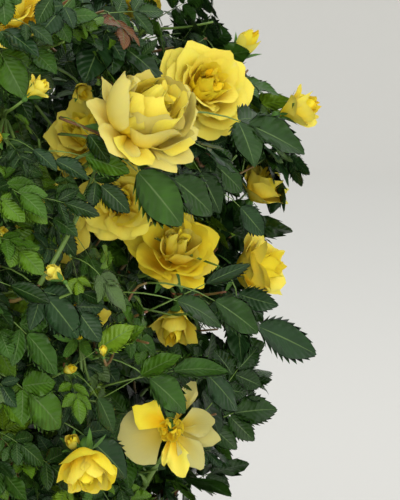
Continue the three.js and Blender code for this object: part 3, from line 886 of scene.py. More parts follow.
def resampled(line, count):
    """A line of points with a given count of points, evenly by place."""
    place = np.linspace(0, len(line) - 1, count)
    k = np.minimum(place.astype(int), len(line) - 2)
    return line[k] + (line[k + 1] - line[k]) * (place - k)[:, None]


def add_piece(name, shell, materials, slot, replaced=()):
    """A mesh object from a shell, riding on the root and standing for the frame's nodes that it
    replaces."""
    mesh = bpy.data.meshes.new(name)
    loops = np.concatenate([shell.quads.ravel(), shell.triangles.ravel()])
    starts = np.concatenate([
        np.arange(len(shell.quads)) * 4,
        len(shell.quads) * 4 + np.arange(len(shell.triangles)) * 3,
    ])
    mesh.vertices.add(len(shell.points))
    mesh.vertices.foreach_set("co", shell.points.astype(np.float32).ravel())
    mesh.loops.add(len(loops))
    mesh.loops.foreach_set("vertex_index", loops.astype(np.int32))
    mesh.polygons.add(len(starts))
    mesh.polygons.foreach_set("loop_start", starts.astype(np.int32))
    for material in materials:
        mesh.materials.append(material)
    tones = np.concatenate([shell.quad_tones, shell.triangle_tones]).astype(np.int32)
    mesh.polygons.foreach_set("material_index", tones)
    mesh.polygons.foreach_set("use_smooth", np.ones(len(starts), bool))
    blade = mesh.uv_layers.new(name="blade")
    blade.uv.foreach_set("vector", shell.uv[loops].astype(np.float32).ravel())
    mesh.update(calc_edges=True)
    mesh.validate()
    piece = bpy.data.objects.new(name, mesh)
    bpy.context.scene.collection.objects.link(piece)
    if slot:
        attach(piece, "root")
        if replaced:
            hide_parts(*replaced)
    return piece


def value_noise(x, y, seed):
    """Smooth noise from 0 to 1 over two whole-number grids: seeded values at the crossings, eased
    between."""
    table = np.random.default_rng(seed).random((64, 64))
    cx, cy = np.floor(x).astype(int), np.floor(y).astype(int)
    fx, fy = x - cx, y - cy
    fx, fy = fx * fx * (3 - 2 * fx), fy * fy * (3 - 2 * fy)
    low, high = (
        table[cx % 64, row % 64] * (1 - fx) + table[(cx + 1) % 64, row % 64] * fx
        for row in (cy, cy + 1)
    )
    return low * (1 - fy) + high * fy


# ---------------------------------------------------------------- shapes of the woody pieces
def base_stem_shell(rows=56, columns=120):
    """The knobbly base stem: its outline turned about Z, swollen under each lower cane, with bark
    relief of ridges that run upwards, parted by cracks. The cut at the ground is flat."""
    outline = np.array(BASE_OUTLINE)
    v = np.linspace(0, 1, rows)[:, None]
    turn = np.linspace(0, 2 * math.pi, columns, endpoint=False)[None]
    place = np.linspace(0, len(outline) - 1, rows)
    radius = np.interp(place, np.arange(len(outline)), outline[:, 0])[:, None]
    height = np.interp(place, np.arange(len(outline)), outline[:, 1])[:, None] * BASE_HEIGHT
    knobs = 1 + BASE_KNOBS * np.cos(5 * (turn - math.radians(TIERS[0]["azimuth"])))
    ridge = value_noise(turn * BARK_RIDGES / (2 * math.pi) + 3 * v, v * 5 + 0 * turn, 5)
    crack = np.abs(value_noise(turn * BARK_CRACKS / (2 * math.pi), v * 8 + 0 * turn, 9) - 0.5) * 2
    relief = RIDGE_HEIGHT * (ridge - 0.5) - CRACK_DEPTH * np.exp(-((crack / 0.12) ** 2))
    relief = relief * np.sin(np.pi * np.clip(v * 1.05, 0.06, 1))
    r = radius * BASE_RADIUS * knobs + relief
    height = height + 0 * turn
    points = np.stack([r * np.cos(turn) + height * BASE_LEAN, r * np.sin(turn), height], -1)
    ends = [[0, 0, 0], [BASE_HEIGHT * BASE_LEAN, 0, BASE_HEIGHT]]
    return Shell(np.concatenate([points.reshape(-1, 3), ends]), *closed_tube(rows, columns))


def canes_shell(rows=90, sides=14):
    """The canes: tubes that taper, swell a little at each node, and end just inside the base stem
    and just short of their stems."""
    lines, radii = [], []
    for k, cane in enumerate(plant().canes):
        line = resampled(cane["line"], rows)
        share = np.linspace(0, 1, rows)
        nodes = np.cos(2 * math.pi * share * line_length(line) / CANE_NODES + k) ** 16
        lines.append(line)
        radii.append(lerp(cane["radii"], share) * (0.97 + 0.14 * nodes))
    return tubes(lines, np.array(radii), sides)


def shoots_shell():
    """Stems and shoots as tubes, thicker where they leave what carries them, and the finer side
    twigs, some of them reddish."""
    grown = plant()
    share = np.linspace(0, 1, SHOOT_STEPS + 1)
    swell = 1 + 0.45 * np.exp(-((share / 0.07) ** 2)) + 0.05 * np.cos(share * 40)
    stem_share = np.linspace(0, 1, STEM_LINE_STEPS + 2)
    stem_radii = np.array([
        lerp((cane["radii"][1], SHOOT_RADII[0]), stem_share) for cane in grown.canes
    ])
    stem_swell = 1 + 0.05 * np.cos(stem_share * 60)
    stems = tubes([stem["line"] for stem in grown.stems], stem_radii * stem_swell, 10)
    shoots = tubes([shoot["line"] for shoot in grown.shoots], lerp(SHOOT_RADII, share) * swell, 7)
    tones = (np.random.default_rng(5).random(len(twigs())) < 0.3).astype(int)
    thick = np.array([twig.get("thick", 1.0) for twig in twigs()])[:, None]
    radii = thick * lerp(TWIG_RADII, np.linspace(0, 1, TWIG_STEPS + 1))
    return Shell.joined([stems, shoots, tubes([twig["line"] for twig in twigs()], radii, 5, tones)])


def prickles_shell():
    """Prickles: short cones with a broad foot that hook back towards the root of the cane they
    stand on."""
    grown = plant()
    random = np.random.default_rng(17)
    roots, outs, backs, lengths = [], [], [], []
    # line, radii, spacing of the prickles and their size
    carriers = [(cane["line"], cane["radii"], 0.021, 0.0065) for cane in grown.canes]
    carriers += [
        (stem["line"], (cane["radii"][1], SHOOT_RADII[0]), 0.024, 0.0055)
        for stem, cane in zip(grown.stems, grown.canes)
    ]
    carriers += [(shoot["line"], SHOOT_RADII, 0.027, 0.0045) for shoot in grown.shoots]
    for line, radii, spacing, size in carriers:
        length = line_length(line)
        turn = random.uniform(0, 2 * math.pi)
        for share in np.arange(spacing, length * 0.94, spacing) / length:
            turn += GOLDEN_ANGLE + random.uniform(-0.4, 0.4)
            point, heading = along(line, share)
            out = beside(heading, -turn)
            roots.append(point + out * lerp(radii, share) * 0.8)
            outs.append(out)
            backs.append(-heading)
            lengths.append(size * random.uniform(0.7, 1.15))
    roots, outs, backs = (np.array(part)[:, None] for part in (roots, outs, backs))
    lengths = np.array(lengths)[:, None, None]
    forward = np.array([0, 0.4, 1.0])[None, :, None]
    lines = roots + lengths * (outs * forward + backs * 0.42 * forward**2)
    return tubes(lines, lengths[:, :, 0] * np.array([0.36, 0.16, 0.02]), 5)


# ---------------------------------------------------------------- leaves
def blade_width(u):
    """A leaflet's half width at a share of its length, as a share of its greatest: round at the
    foot, widest before the middle, drawn out to the tip."""
    peak = 0.44
    return np.maximum(u / peak, 0) ** 0.72 * np.maximum((1 - u) / (1 - peak), 0) ** 0.92


def leaflet_template(rows, columns):
    """A leaflet's points as u along it, v across it from -1 to 1, and how far a tooth stands out,
    with its faces: a grid with a saw tooth on each step of each edge, and a pointed tip. After
    them comes each point's place on the blade."""
    u = np.linspace(0.02, 0.965, rows)
    grid_u, grid_v = np.meshgrid(u, np.linspace(-1, 1, columns), indexing="ij")
    tooth_u = np.minimum(u[1:] + 0.4 * (u[1] - u[0]), 0.985)
    edge = len(tooth_u)
    ones = np.ones(edge)
    u_all = np.concatenate([grid_u.ravel(), tooth_u, tooth_u, [1.0]])
    v_all = np.concatenate([grid_v.ravel(), -ones, ones, [0.0]])
    tooth = np.concatenate([np.zeros(rows * columns), -ones, ones, [0.0]])
    k = np.arange(edge)
    left, right = rows * columns + k, rows * columns + edge + k
    tip = np.full(columns - 1, rows * columns + 2 * edge)
    last = (rows - 1) * columns + np.arange(columns - 1)
    triangles = np.concatenate([
        np.stack([left, (k + 1) * columns, k * columns], axis=-1),
        np.stack([(k + 2) * columns - 1, right, (k + 1) * columns - 1], axis=-1),
        np.stack([last, last + 1, tip], axis=-1),
    ])
    return u_all, v_all, tooth, grid_quads(rows, columns), triangles, blade_uv(u_all, v_all)


def blade_uv(u, v):
    """The place on a blade of points u along it and v across it from -1 to 1."""
    return np.stack([0.5 + 0.5 * v, u], axis=-1)


def leaflet_points(blades, u, v, tooth, raised=0.0):
    """The points of n leaflets: a blade that is folded along its rib, arched along its length,
    rolled down at the edges, waved, and twisted a little towards its tip."""
    get = {name: column[:, None] for name, column in blades.items()}
    u, v, tooth = u[None], v[None], tooth[None]
    y = v * (blade_width(u) * get["width"]) + 0.08 * tooth * np.minimum(1, 3.2 * (1 - u) + 0.25)
    across = np.abs(y)
    wave = get["wave"] * np.sin(15 * u + get["phase"] + 2.1 * np.sign(v))
    z = (
        get["fold"] * across - get["roll"] * across**2 - get["arch"] * u**2 + wave * across + raised
    )
    twist = get["twist"] * u
    y, z = y * np.cos(twist) - z * np.sin(twist) * 0.6, y * np.sin(twist) + z
    local = zip((np.broadcast_to(u, y.shape), y, z), ("way", "side", "face"))
    return get["root"] + sum((get["length"] * part)[..., None] * get[name] for part, name in local)


def make_blades(leaf, random):
    """The leaflets of n compound leaves that have the same number of pairs, as arrays, and the
    lines of their stalks. The stalk droops in an arc; the pairs stand off it at 48 to 66 degrees,
    smaller towards its root."""
    count = len(leaf["root"])
    end_at, end_size, pairs = LEAF_PLANS[int(leaf["pairs"][0])]
    way, face, sag = leaf["way"], leaf["face"], leaf["sag"]
    length, loose = leaf["length"], leaf["loose"]

    def stalk(share):
        share = np.broadcast_to(share, (count,))[:, None]
        return leaf["root"] + length[:, None] * (way * share + sag * share**2)

    blades = []
    sides = [(at, size, sign) for at, size in pairs for sign in (-1, 1)]
    for at, size, sign in sides + [(end_at, end_size, 0)]:
        give = np.maximum(loose, abs(sign))[:, None]
        start = at + (random.uniform(-0.03, 0.03, count) if sign else 0.0)
        heading = unit(way + 2 * sag * np.broadcast_to(start, (count,))[:, None])
        tipped = squared_to(face, heading)
        aside = np.cross(tipped, heading)
        spread = np.radians(random.uniform(48, 66, count))[:, None] * abs(sign)
        stray = random.uniform(-0.1, 0.1, (count, 3))
        stray = stray - UP * random.uniform(0.0, 0.3, count)[:, None]
        blade_way = unit(heading * np.cos(spread) + sign * aside * np.sin(spread) + give * stray)
        blade_face = tipped + random.uniform(-0.24, 0.24, (count, 3)) - 0.16 * sign * aside
        blade_face = squared_to(blade_face, blade_way)
        blades.append(dict(
            root=stalk(start) + blade_way * length[:, None] * 0.012,
            way=blade_way,
            face=blade_face,
            side=np.cross(blade_face, blade_way),
            length=length * size * (1 + 0.12 * give[:, 0] * random.uniform(-1, 1, count)),
            width=leaf["width"] * (1 + 0.11 * give[:, 0] * random.uniform(-1, 1, count)),
            fold=random.uniform(0.12, 0.5, count),
            roll=random.uniform(0.2, 1.1, count),
            arch=random.uniform(0.02, 0.26, count),
            wave=random.uniform(0.03, 0.13, count),
            phase=random.uniform(0, 6.28, count),
            twist=random.uniform(-0.5, 0.5, count) * (0.4 + 0.6 * give[:, 0]),
            tone=leaf["tone"],
            fine=leaf["fine"],
            mass=leaf["mass"],
        ))
    stalks = np.stack([stalk(share) for share in np.linspace(0, end_at + 0.01, 5)], axis=1)
    return joined_columns(blades), stalks


@lru_cache(maxsize=1)
def blades_and_stalks():
    """Every leaflet of the plant as arrays, the lines of the stalks, and the leaves' lengths."""
    random = np.random.default_rng(23)
    columns = as_columns(leaves())
    parts = [chosen_rows(columns, columns["pairs"] == pairs) for pairs in LEAF_PLANS]
    sets, stalks = zip(*[make_blades(part, random) for part in parts])
    lengths = np.concatenate([part["length"] for part in parts])
    return joined_columns(sets), np.concatenate(stalks), lengths


def leaflets_shell(blades):
    """Leaflets with a raised rib: those close to the viewer on a finer grid than the others."""
    shells = []
    for fine, rows, columns in ((True, 10, 5), (False, 6, 3)):
        part = chosen_rows(blades, blades["fine"] == fine)
        if not len(part["fine"]):
            continue
        u, v, tooth, quads, triangles, uv = leaflet_template(rows, columns)
        points = leaflet_points(part, u, v, tooth)
        shells.append(copies(points, quads, triangles, uv, part["tone"]))
        if fine:
            u = np.repeat(np.linspace(0.0, 0.93, 5), 2)
            v = np.tile([-1.0, 1.0], 5) * (0.05 - 0.03 * u)
            points = leaflet_points(part, u, v, 0 * u, 0.006)
            shells.append(copies(points, grid_quads(5, 2), (), blade_uv(u, v), len(LEAF_TONES)))
    return Shell.joined(shells)


# ---------------------------------------------------------------- blooms
# Whorls of petals from the outside in: how many, length, angle to the axis at foot and near the
# tip, how much more the tip flares, distance of the foot from the axis, half the angle that a petal
# takes up, how far its edges roll back, how deep they wave, and its tone. Lengths are shares of the
# bloom's radius, and angles are degrees.
WHORLS = {
    "full": [
        (4, 1.06, 62, 97, 22, 0.07, 42, 0.18, 0.05, 1),
        (5, 1.08, 50, 84, 28, 0.08, 42, 0.20, 0.055, 1),
        (5, 1.08, 38, 66, 34, 0.09, 45, 0.20, 0.06, 1),
        (5, 1.07, 28, 47, 34, 0.10, 49, 0.18, 0.06, 1),
        (5, 1.04, 20, 29, 28, 0.10, 50, 0.14, 0.07, 1),
        (5, 1.02, 13, 13, 20, 0.10, 52, 0.09, 0.07, 2),
        (4, 1.04, 8, -4, 8, 0.08, 62, 0.05, 0.07, 2),
        (4, 1.02, 4, -12, 2, 0.06, 66, 0.03, 0.08, 2),
        (4, 0.98, 1, -20, 0, 0.035, 72, 0.00, 0.08, 3),
    ],
    "loose": [
        (4, 1.02, 40, 44, 34, 0.09, 48, 0.18, 0.07, 2),
        (5, 1.04, 30, 26, 28, 0.09, 50, 0.14, 0.08, 2),
        (5, 1.02, 20, 10, 18, 0.08, 56, 0.08, 0.08, 1),
        (4, 1.00, 11, -6, 8, 0.06, 60, 0.04, 0.08, 1),
        (4, 0.96, 4, -16, 0, 0.04, 66, 0.00, 0.08, 2),
    ],
    "shells": [
        (3, 1.10, 58, -8, 44, 0.08, 46, 0.14, 0.07, 0),
        (4, 1.14, 50, -16, 34, 0.08, 48, 0.10, 0.07, 0),
        (4, 1.16, 42, -20, 24, 0.08, 50, 0.08, 0.07, 1),
        (4, 1.16, 32, -22, 16, 0.07, 54, 0.06, 0.07, 1),
        (4, 1.14, 21, -20, 10, 0.06, 60, 0.04, 0.08, 1),
        (4, 1.10, 10, -18, 0, 0.04, 64, 0.00, 0.08, 2),
    ],
    "splayed": [
        (5, 1.06, 66, 104, 16, 0.08, 37, 0.16, 0.05, 0),
        (5, 1.02, 48, 88, 20, 0.07, 38, 0.18, 0.06, 0),
        (4, 0.86, 40, 80, 20, 0.07, 38, 0.12, 0.07, 1),
        (4, 0.60, 18, 56, 10, 0.06, 42, 0.06, 0.07, 2),
        (4, 0.42, 6, 30, 0, 0.05, 46, 0.00, 0.06, 3),
    ],
    "cup": [
        (4, 1.34, 40, 52, 44, 0.10, 48, 0.20, 0.04, 1),
        (4, 1.42, 30, 32, 36, 0.11, 52, 0.18, 0.05, 1),
        (4, 1.44, 22, 16, 30, 0.11, 54, 0.14, 0.05, 1),
        (4, 1.40, 16, 2, 20, 0.10, 58, 0.08, 0.05, 2),
        (4, 1.32, 11, -8, 8, 0.08, 62, 0.04, 0.05, 2),
        (3, 1.20, 6, -12, 0, 0.05, 84, 0.00, 0.05, 3),
    ],
    "nodding": [
        (5, 1.10, 56, 24, 16, 0.12, 46, 0.12, 0.04, 2),
        (5, 1.14, 44, 8, 20, 0.12, 50, 0.12, 0.04, 1),
        (5, 1.12, 30, 0, 12, 0.11, 54, 0.08, 0.04, 2),
        (4, 1.06, 16, -10, 6, 0.08, 62, 0.04, 0.04, 2),
    ],
    "opening": [
        (5, 1.50, 32, 26, 30, 0.14, 40, 0.12, 0.03, 1),
        (4, 1.70, 28, -4, 16, 0.15, 60, 0.08, 0.02, 1),
        (4, 1.75, 24, -14, 4, 0.13, 64, 0.03, 0.02, 2),
        (3, 1.72, 18, -14, 0, 0.10, 78, 0.00, 0.02, 3),
    ],
    "bud": [
        (3, 1.55, 30, -2, 0, 0.16, 64, 0.06, 0.02, 1),
        (4, 1.75, 27, -16, 0, 0.15, 62, 0.00, 0.02, 2),
        (3, 1.80, 20, -16, 0, 0.12, 74, 0.00, 0.02, 3),
    ],
    "spent": [
        (5, 0.26, 66, 78, 0, 0.02, 56, 0.00, 0.06, 2),
        (4, 0.30, 16, 30, 0, 0.03, 50, 0.00, 0.08, 2),
    ],
}
CLOSED = ("bud", "opening")  # the forms whose petals stand close

# Heads of viewed blooms that have turned away from the way their stalk points: the azimuth and
# rise that they face
TURNED_HEADS = {0: (-46, 40), 5: (-92, 9), 14: (-70, 62)}

# Single petals of some viewed blooms, laid as the photograph shows them: the turn of each about
# the bloom's axis in degrees, from straight up towards the viewer's left, then length, start, end,
# flare, half angle, roll, point and tone
LAID_PETALS = {
    0: [
        (22, 0.90, 56, 72, 10, 18, 0.06, 0.10, 0),
        (58, 0.84, 62, 84, 14, 28, 0.10, 0.08, 0),
        (122, 1.00, 56, 84, 20, 36, 0.16, 0.10, 0),
        (146, 1.04, 54, 82, 10, 30, 0.10, 0.03, 1),
        (-162, 0.94, 62, 88, 16, 28, 0.20, 0.10, 0),
        (-136, 1.08, 62, 84, 10, 30, 0.20, 0.07, 0),
        (-122, 1.02, 56, 74, 20, 28, 0.24, 0.05, 1),
        (-106, 1.16, 62, 80, 10, 20, 0.14, 0.05, 0),
        (-92, 1.16, 52, 44, 40, 32, 0.30, 0.04, 0),
        (66, 1.30, 76, -22, 10, 48, 0.08, 0.03, 0),
        (52, 1.20, 64, -24, 8, 34, 0.06, 0.06, 0),
        (-96, 1.28, 74, -10, 14, 42, 0.12, 0.04, 0),
        (-74, 1.26, 66, -14, 10, 42, 0.12, 0.04, 0),
        (-150, 1.14, 66, 14, 24, 34, 0.12, 0.05, 0),
        (-20, 1.04, 60, -10, 60, 40, 0.10, 0.04, 0),
    ],
    2: [
        (68, 1.08, 66, 74, 10, 24, 0.18, 0.05, 2),
        (116, 0.82, 60, 76, 14, 38, 0.22, 0.02, 2),
        (162, 0.66, 76, 94, 10, 24, 0.16, 0.04, 1),
        (-146, 0.88, 68, 86, 12, 22, 0.26, 0.08, 2),
        (-110, 0.94, 60, 74, 12, 32, 0.18, 0.06, 1),
        (-70, 0.96, 52, 56, 16, 30, 0.12, 0.03, 1),
        (12, 1.02, 44, 26, 16, 30, 0.06, 0.06, 2),
        (44, 0.88, 50, 40, 10, 15, 0.10, 0.10, 1),
        (-28, 1.00, 48, 36, 16, 24, 0.08, 0.04, 1),
    ],
    # Tone 4 here is the faded lemon, darkened as painted shade
    5: [
        (106, 1.08, 72, 86, 6, 46, 0.12, 0.02, 4),
        (56, 1.02, 44, 40, 50, 30, 0.30, 0.10, 2),
        (-26, 1.10, 66, 76, 0, 12, 0.06, 0.06, 4),
        (-76, 0.84, 66, 82, 10, 29, 0.16, 0.10, 4),
        (-102, 0.92, 78, 92, 8, 22, 0.20, 0.10, 4),
        (-140, 0.90, 70, 88, 10, 25, 0.18, 0.16, 4),
        (-166, 0.94, 64, 84, 12, 21, 0.28, 0.10, 1),
        (168, 0.72, 70, 84, 10, 9, 0.20, 0.06, 1),
    ],
}

BUD_SHARE = 0.16  # of the twigs near the crown's surface, those that end in a bud
BUD_WIDTHS = (0.013, 0.02)
BUD_GRID = (6, 7)
HIP_OUTLINE = np.array([
    (0.05, -1.0), (0.12, -0.93), (0.2, -0.82), (0.21, -0.7), (0.15, -0.58), (0.1, -0.5),
])
HIP_WIDEST = 0.009
SEPAL_LONGEST = 0.03
STAMEN_COUNT = 26


def smooth_step(low, high, value):
    """0 below low, 1 above high, and an S-shaped rise between."""
    t = np.clip((value - low) / (high - low), 0, 1)
    return t * t * (3 - 2 * t)


def running_sum(slope, step):
    """The integral of a slope along the rows of a grid, by trapezoids of a given step."""
    parts = (slope[:, 1:] + slope[:, :-1]) / 2
    return np.concatenate([np.zeros_like(slope[:, :1]), np.cumsum(parts, axis=1)], axis=1) * step


def petal_points(petals, rows, columns):
    """The points of n petals on a grid. A petal is a strip of a bowl about the bloom's axis: its
    angle to the axis runs from start to end and then flares at its tip, and its radius and height
    are the running sums of that angle's sine and cosine. It is narrow at the foot, and its upper
    edge is round and ragged with a point in the middle. Its middle bulges outwards, and its edges
    wave and roll back."""
    a = np.linspace(0, 1, rows)[None, :, None]
    b = np.linspace(-1, 1, columns)[None, None, :]
    get = {name: column[:, None, None] for name, column in petals.items() if column.ndim == 1}
    phase = get["phase"]
    top = 1 - get["round"] * np.abs(b) ** 2.3 + get["point"] * np.exp(-((b / 0.24) ** 2))
    top = top + 0.014 * np.sin(11 * b + 3 * phase) + 0.01 * np.sin(17 * b + phase)
    s = a * top
    bend = (get["end"] - get["start"]) * s
    angle = np.radians(get["start"] + bend + get["flare"] * smooth_step(0.6, 1.05, s))
    step = get["length"] * top / (rows - 1)
    radial = get["foot"] + running_sum(np.sin(angle), step)
    height = PETAL_FOOT + running_sum(np.cos(angle), step)
    spread = np.radians(get["half"]) * b * (0.5 + 0.62 * np.sin(np.pi * np.clip(s, 0, 1) * 0.6))
    wave = get["wave"] * s**2 * (
        np.sin(4.4 * b + phase) + 0.7 * np.sin(9.7 * b + 2.1 * phase) * np.abs(b)
    )
    edge = smooth_step(0.4, 1.0, np.abs(b)) * smooth_step(0.25, 0.95, s)
    rolled = get["roll"] * edge * (0.35 + 0.65 * edge)
    push = wave - rolled - get["cup"] * (1 - b**2) * np.sin(np.pi * s**0.8)
    radial = radial - np.cos(angle) * push
    height = height + np.sin(angle) * push
    turn = get["turn"] + spread + get["skew"] * s
    e1, e2, axis = (petals[name][:, None, None] for name in ("e1", "e2", "axis"))
    parts = (radial * np.cos(turn), radial * np.sin(turn), height)
    along_e1, along_e2, along_axis = (part[..., None] for part in parts)
    offset = along_e1 * e1 + along_e2 * e2 + along_axis * axis
    points = petals["at"][:, None, None] + petals["radius"][:, None, None, None] * offset
    return points.reshape(len(points), -1, 3)


def bloom_axes(axis):
    """A bloom's axis and two vectors square to it, of which the first points up."""
    e1 = high_side(axis)
    return axis, e1, np.cross(axis, e1)


@lru_cache(maxsize=1)
def small_buds():
    """Small closed buds on the tips of some side twigs near the crown's surface, and those that
    the viewer sees."""
    random = np.random.default_rng(31)
    buds = []
    for twig in twigs()[: -len(VIEWED_BUDS)]:
        tip = twig["line"][-1]
        if crown_share(tip) > 0.7 and tip[2] > 0.45 and random.random() < BUD_SHARE:
            faces = unit(twig["line"][-1] - twig["line"][-2])
            at = tip + faces * 0.008
            if plant().clear_of_blooms(at, 1.4):
                across = random.uniform(*BUD_WIDTHS)
                buds.append(dict(at=at, head=at, across=across, faces=faces, kind="bud"))
    return buds + viewed_buds()[0]


@lru_cache(maxsize=1)
def petal_arrays():
    """Every petal of every bloom and bud, as arrays. Each bloom has its own seed."""
    rows = []
    laid_names = ("length", "start", "end", "flare", "half", "roll", "point", "tone")
    for index, bloom in enumerate(plant().blooms + small_buds()):
        random = np.random.default_rng(401 + index)
        is_bud = bloom["kind"] in CLOSED
        loose = 0.3 if is_bud else 1.0
        turned = index in TURNED_HEADS
        facing = aimed(*np.radians(TURNED_HEADS[index])) if turned else bloom["faces"]
        axis, e1, e2 = bloom_axes(facing)
        middle = bloom["head"] + (bloom["faces"] - axis) * PETAL_FOOT * bloom["across"] / 2
        first = random.uniform(0, 2 * math.pi)
        heart = random.uniform(-0.04, 0.04, 2)
        petals = []
        whorls = WHORLS[bloom["kind"]]
        for level, whorl in enumerate(whorls):
            count, length, start, end, flare, foot, half, roll, wave, tone = whorl
            first += random.uniform(0.5, 0.8)
            inner = level / len(whorls)
            for k in range(count):
                tilt = random.normal(0, 5.0) * loose
                petals.append(dict(
                    at=middle + (heart[0] * e1 + heart[1] * e2) * inner * bloom["across"],
                    turn=first + 2 * math.pi * k / count + random.normal(0, 0.12) * loose,
                    length=length * random.uniform(0.93, 1.06),
                    start=start + tilt,
                    end=end + tilt * 1.2 + random.normal(0, 4) * loose,
                    flare=flare * random.uniform(0.5, 1.5),
                    foot=foot,
                    half=half * random.uniform(0.9, 1.12),
                    roll=roll * random.uniform(0.5, 1.5),
                    wave=wave * random.uniform(0.6, 1.3),
                    skew=random.normal(0, 0.08) + (0.5 if is_bud else 0.3 * inner),
                    point=random.uniform(0.03, 0.1),
                    tone=tone,
                ))
        for turn, *sizes in LAID_PETALS.get(index, ()):
            fixed = dict(at=middle, turn=math.radians(turn), foot=0.06, wave=0.03, skew=0.0)
            petals.append(dict(zip(laid_names, sizes), **fixed))
        for petal in petals:
            rows.append(dict(
                petal, axis=axis, e1=e1, e2=e2,
                radius=bloom["across"] / 2,
                phase=random.uniform(0, 6.28),
                cup=0.0 if is_bud else random.uniform(0.08, 0.17),
                round=random.uniform(0.26, 0.38),
                detail=0 if bloom["across"] < 0.03 else (2 if index < len(VIEWED_BLOOMS) else 1),
            ))
    return as_columns(rows)


def petals_shell(chosen, rows, columns):
    """Some of the petals as one shell."""
    petals = chosen_rows(petal_arrays(), chosen)
    points = petal_points(petals, rows, columns)
    a, b = np.meshgrid(np.linspace(0, 1, rows), np.linspace(0, 1, columns), indexing="ij")
    uv = np.stack([b.ravel(), a.ravel()], axis=-1)
    return copies(points, grid_quads(rows, columns), (), uv, petals["tone"])


def hips_shell():
    """The green hip under each bloom, an urn: its outline carried round the bloom's axis."""
    blooms = plant().blooms + small_buds()
    sizes = np.array([bloom["across"] / 2 for bloom in blooms])[:, None]
    heads = np.array([bloom["head"] for bloom in blooms])[:, None]
    axes = np.array([bloom["faces"] for bloom in blooms])[:, None]
    lines = heads + (sizes * HIP_OUTLINE[:, 1])[..., None] * axes
    radii = sizes * HIP_OUTLINE[:, 0]
    widest = radii.max(axis=1, keepdims=True)
    return tubes(lines, radii * np.where(widest > HIP_WIDEST, HIP_WIDEST / widest, 1.0), 10)


def sepals_shell(rows=6, columns=3):
    """Five sepals under each bloom: narrow blades drawn out to a point, that hug a bud and bend
    back under an open bloom."""
    random = np.random.default_rng(59)
    blades = []
    for bloom in plant().blooms + small_buds():
        is_bud = bloom["kind"] in CLOSED
        axis, e1, e2 = bloom_axes(bloom["faces"])
        radius = bloom["across"] / 2
        for k in range(5):
            turn = 2 * math.pi * k / 5 + random.uniform(-0.15, 0.15)
            out = e1 * math.cos(turn) + e2 * math.sin(turn)
            lean = random.uniform(0.28, 0.5) if is_bud else random.uniform(1.8, 2.4)
            way = unit(axis * math.cos(lean) + out * math.sin(lean))
            face = squared_to(-out if is_bud else unit(axis - out * 0.2), way)
            blades.append(dict(
                root=bloom["head"] + axis * radius * -0.56 + out * min(radius * 0.14, 0.006),
                way=way, face=face, side=np.cross(face, way),
                length=min(radius * (1.5 if is_bud else 0.62), SEPAL_LONGEST),
                width=random.uniform(0.13, 0.17), fold=0.1, roll=0.4,
                arch=0.3 if is_bud else random.uniform(0.1, 0.5),
                wave=0.02, phase=0.0, twist=random.uniform(-0.3, 0.3),
            ))
    u, v, tooth, quads, triangles, uv = leaflet_template(rows, columns)
    points = leaflet_points(as_columns(blades), u, v, 0 * tooth)
    return copies(points, quads, triangles, uv, 0)


def stamens_shell():
    """Stamens in the heart of each splayed bloom: thin threads that lean out from the axis, each
    with a head."""
    random = np.random.default_rng(67)
    lines = []
    for bloom in plant().blooms:
        if bloom["kind"] != "splayed":
            continue
        axis, e1, e2 = bloom_axes(bloom["faces"])
        foot = bloom["at"] + axis * bloom["across"] / 2 * PETAL_FOOT
        for _ in range(STAMEN_COUNT):
            turn, lean = random.uniform(0, 2 * math.pi), random.uniform(0.1, 0.6)
            out = e1 * math.cos(turn) + e2 * math.sin(turn)
            way = unit(axis * math.cos(lean) + out * math.sin(lean))
            places = np.array([0, 0.4, 0.86, 0.9, 1.0])[:, None]
            lines.append(foot + way * places * random.uniform(0.011, 0.016))
    return tubes(lines, np.array([0.0003, 0.0003, 0.0003, 0.0008, 0.0006]), 5)


# ---------------------------------------------------------------- materials
def linear(code):
    """A linear colour from an sRGB hex value such as #A1B2C3."""
    parts = [int(code[k : k + 2], 16) / 255 for k in (1, 3, 5)]
    return tuple(c / 12.92 if c <= 0.04045 else ((c + 0.055) / 1.055) ** 2.4 for c in parts)


LEAF_TONES = [
    ("leaf_deep_green", "#1B350F"),
    ("leaf_blue_green", "#213C1D"),
    ("leaf_bottle_green", "#244113"),
    ("leaf_middle_green", "#325517"),
    ("leaf_fresh_green", "#3F6417"),
    ("leaf_pale_back", "#4C6435"),
    ("leaf_young_green", "#517617"),
    ("leaf_lime_green", "#688A1C"),
    ("leaf_bronze", "#64401F"),
]
# Petal tones: name, the pale colour at the rim, and the gold towards the foot, which is partly the
# petal's own colour and partly painted shade and glow
PETAL_TONES = [
    ("petal_pale_lemon", "#DED274", "#E6C82E"),
    ("petal_lemon", "#F3E45E", "#F0CC20"),
    ("petal_yellow", "#F8E440", "#F2C81A"),
    ("petal_deep_gold", "#F4D024", "#EAB410"),
    # The spent bloom's own faded, duller lemon, made darker still as painted shade
    ("petal_faded_lemon_painted_shade", "#BEB872", "#C8B032"),
]
LEAF_GLOSS = {"Specular IOR Level": 0.18, "Coat Weight": 0.1, "Coat Roughness": 0.16}
PETAL_LOOK = {
    "Roughness": 0.58,
    "IOR": 1.4,
    "Subsurface Weight": 0.4,
    "Subsurface Radius": (1.0, 0.76, 0.2),
    "Subsurface Scale": 0.008,
    "Specular IOR Level": 0.2,
}
LEAF_VEINS = 8  # ripples along a leaflet of 50 mm: a side vein every 6 mm
VEIN_SLANT = -0.42
PETAL_VEINS = 17  # ripples across a petal of 50 mm: a vein every 3 mm


def new_material(name, values):
    """A material whose shader has the given values, and a function that adds a node to it with its
    settings and links. The kind None stands for the shader itself."""
    material = bpy.data.materials.new(name)
    material.use_nodes = True
    tree = material.node_tree
    shader = tree.nodes["Principled BSDF"]

    def add(kind, settings=None, **links):
        node = tree.nodes.new(kind) if kind else shader
        for key, value in (settings or {}).items():
            if key in node.bl_rna.properties:
                setattr(node, key, value)
            else:
                node.inputs[int(key) if key.isdigit() else key].default_value = value
        for key, source in links.items():
            target = node.inputs[int(key[1:]) if key[1:].isdigit() else key.replace("_", " ")]
            tree.links.new(source, target)
        return node.outputs

    add(None, values)
    return material, add


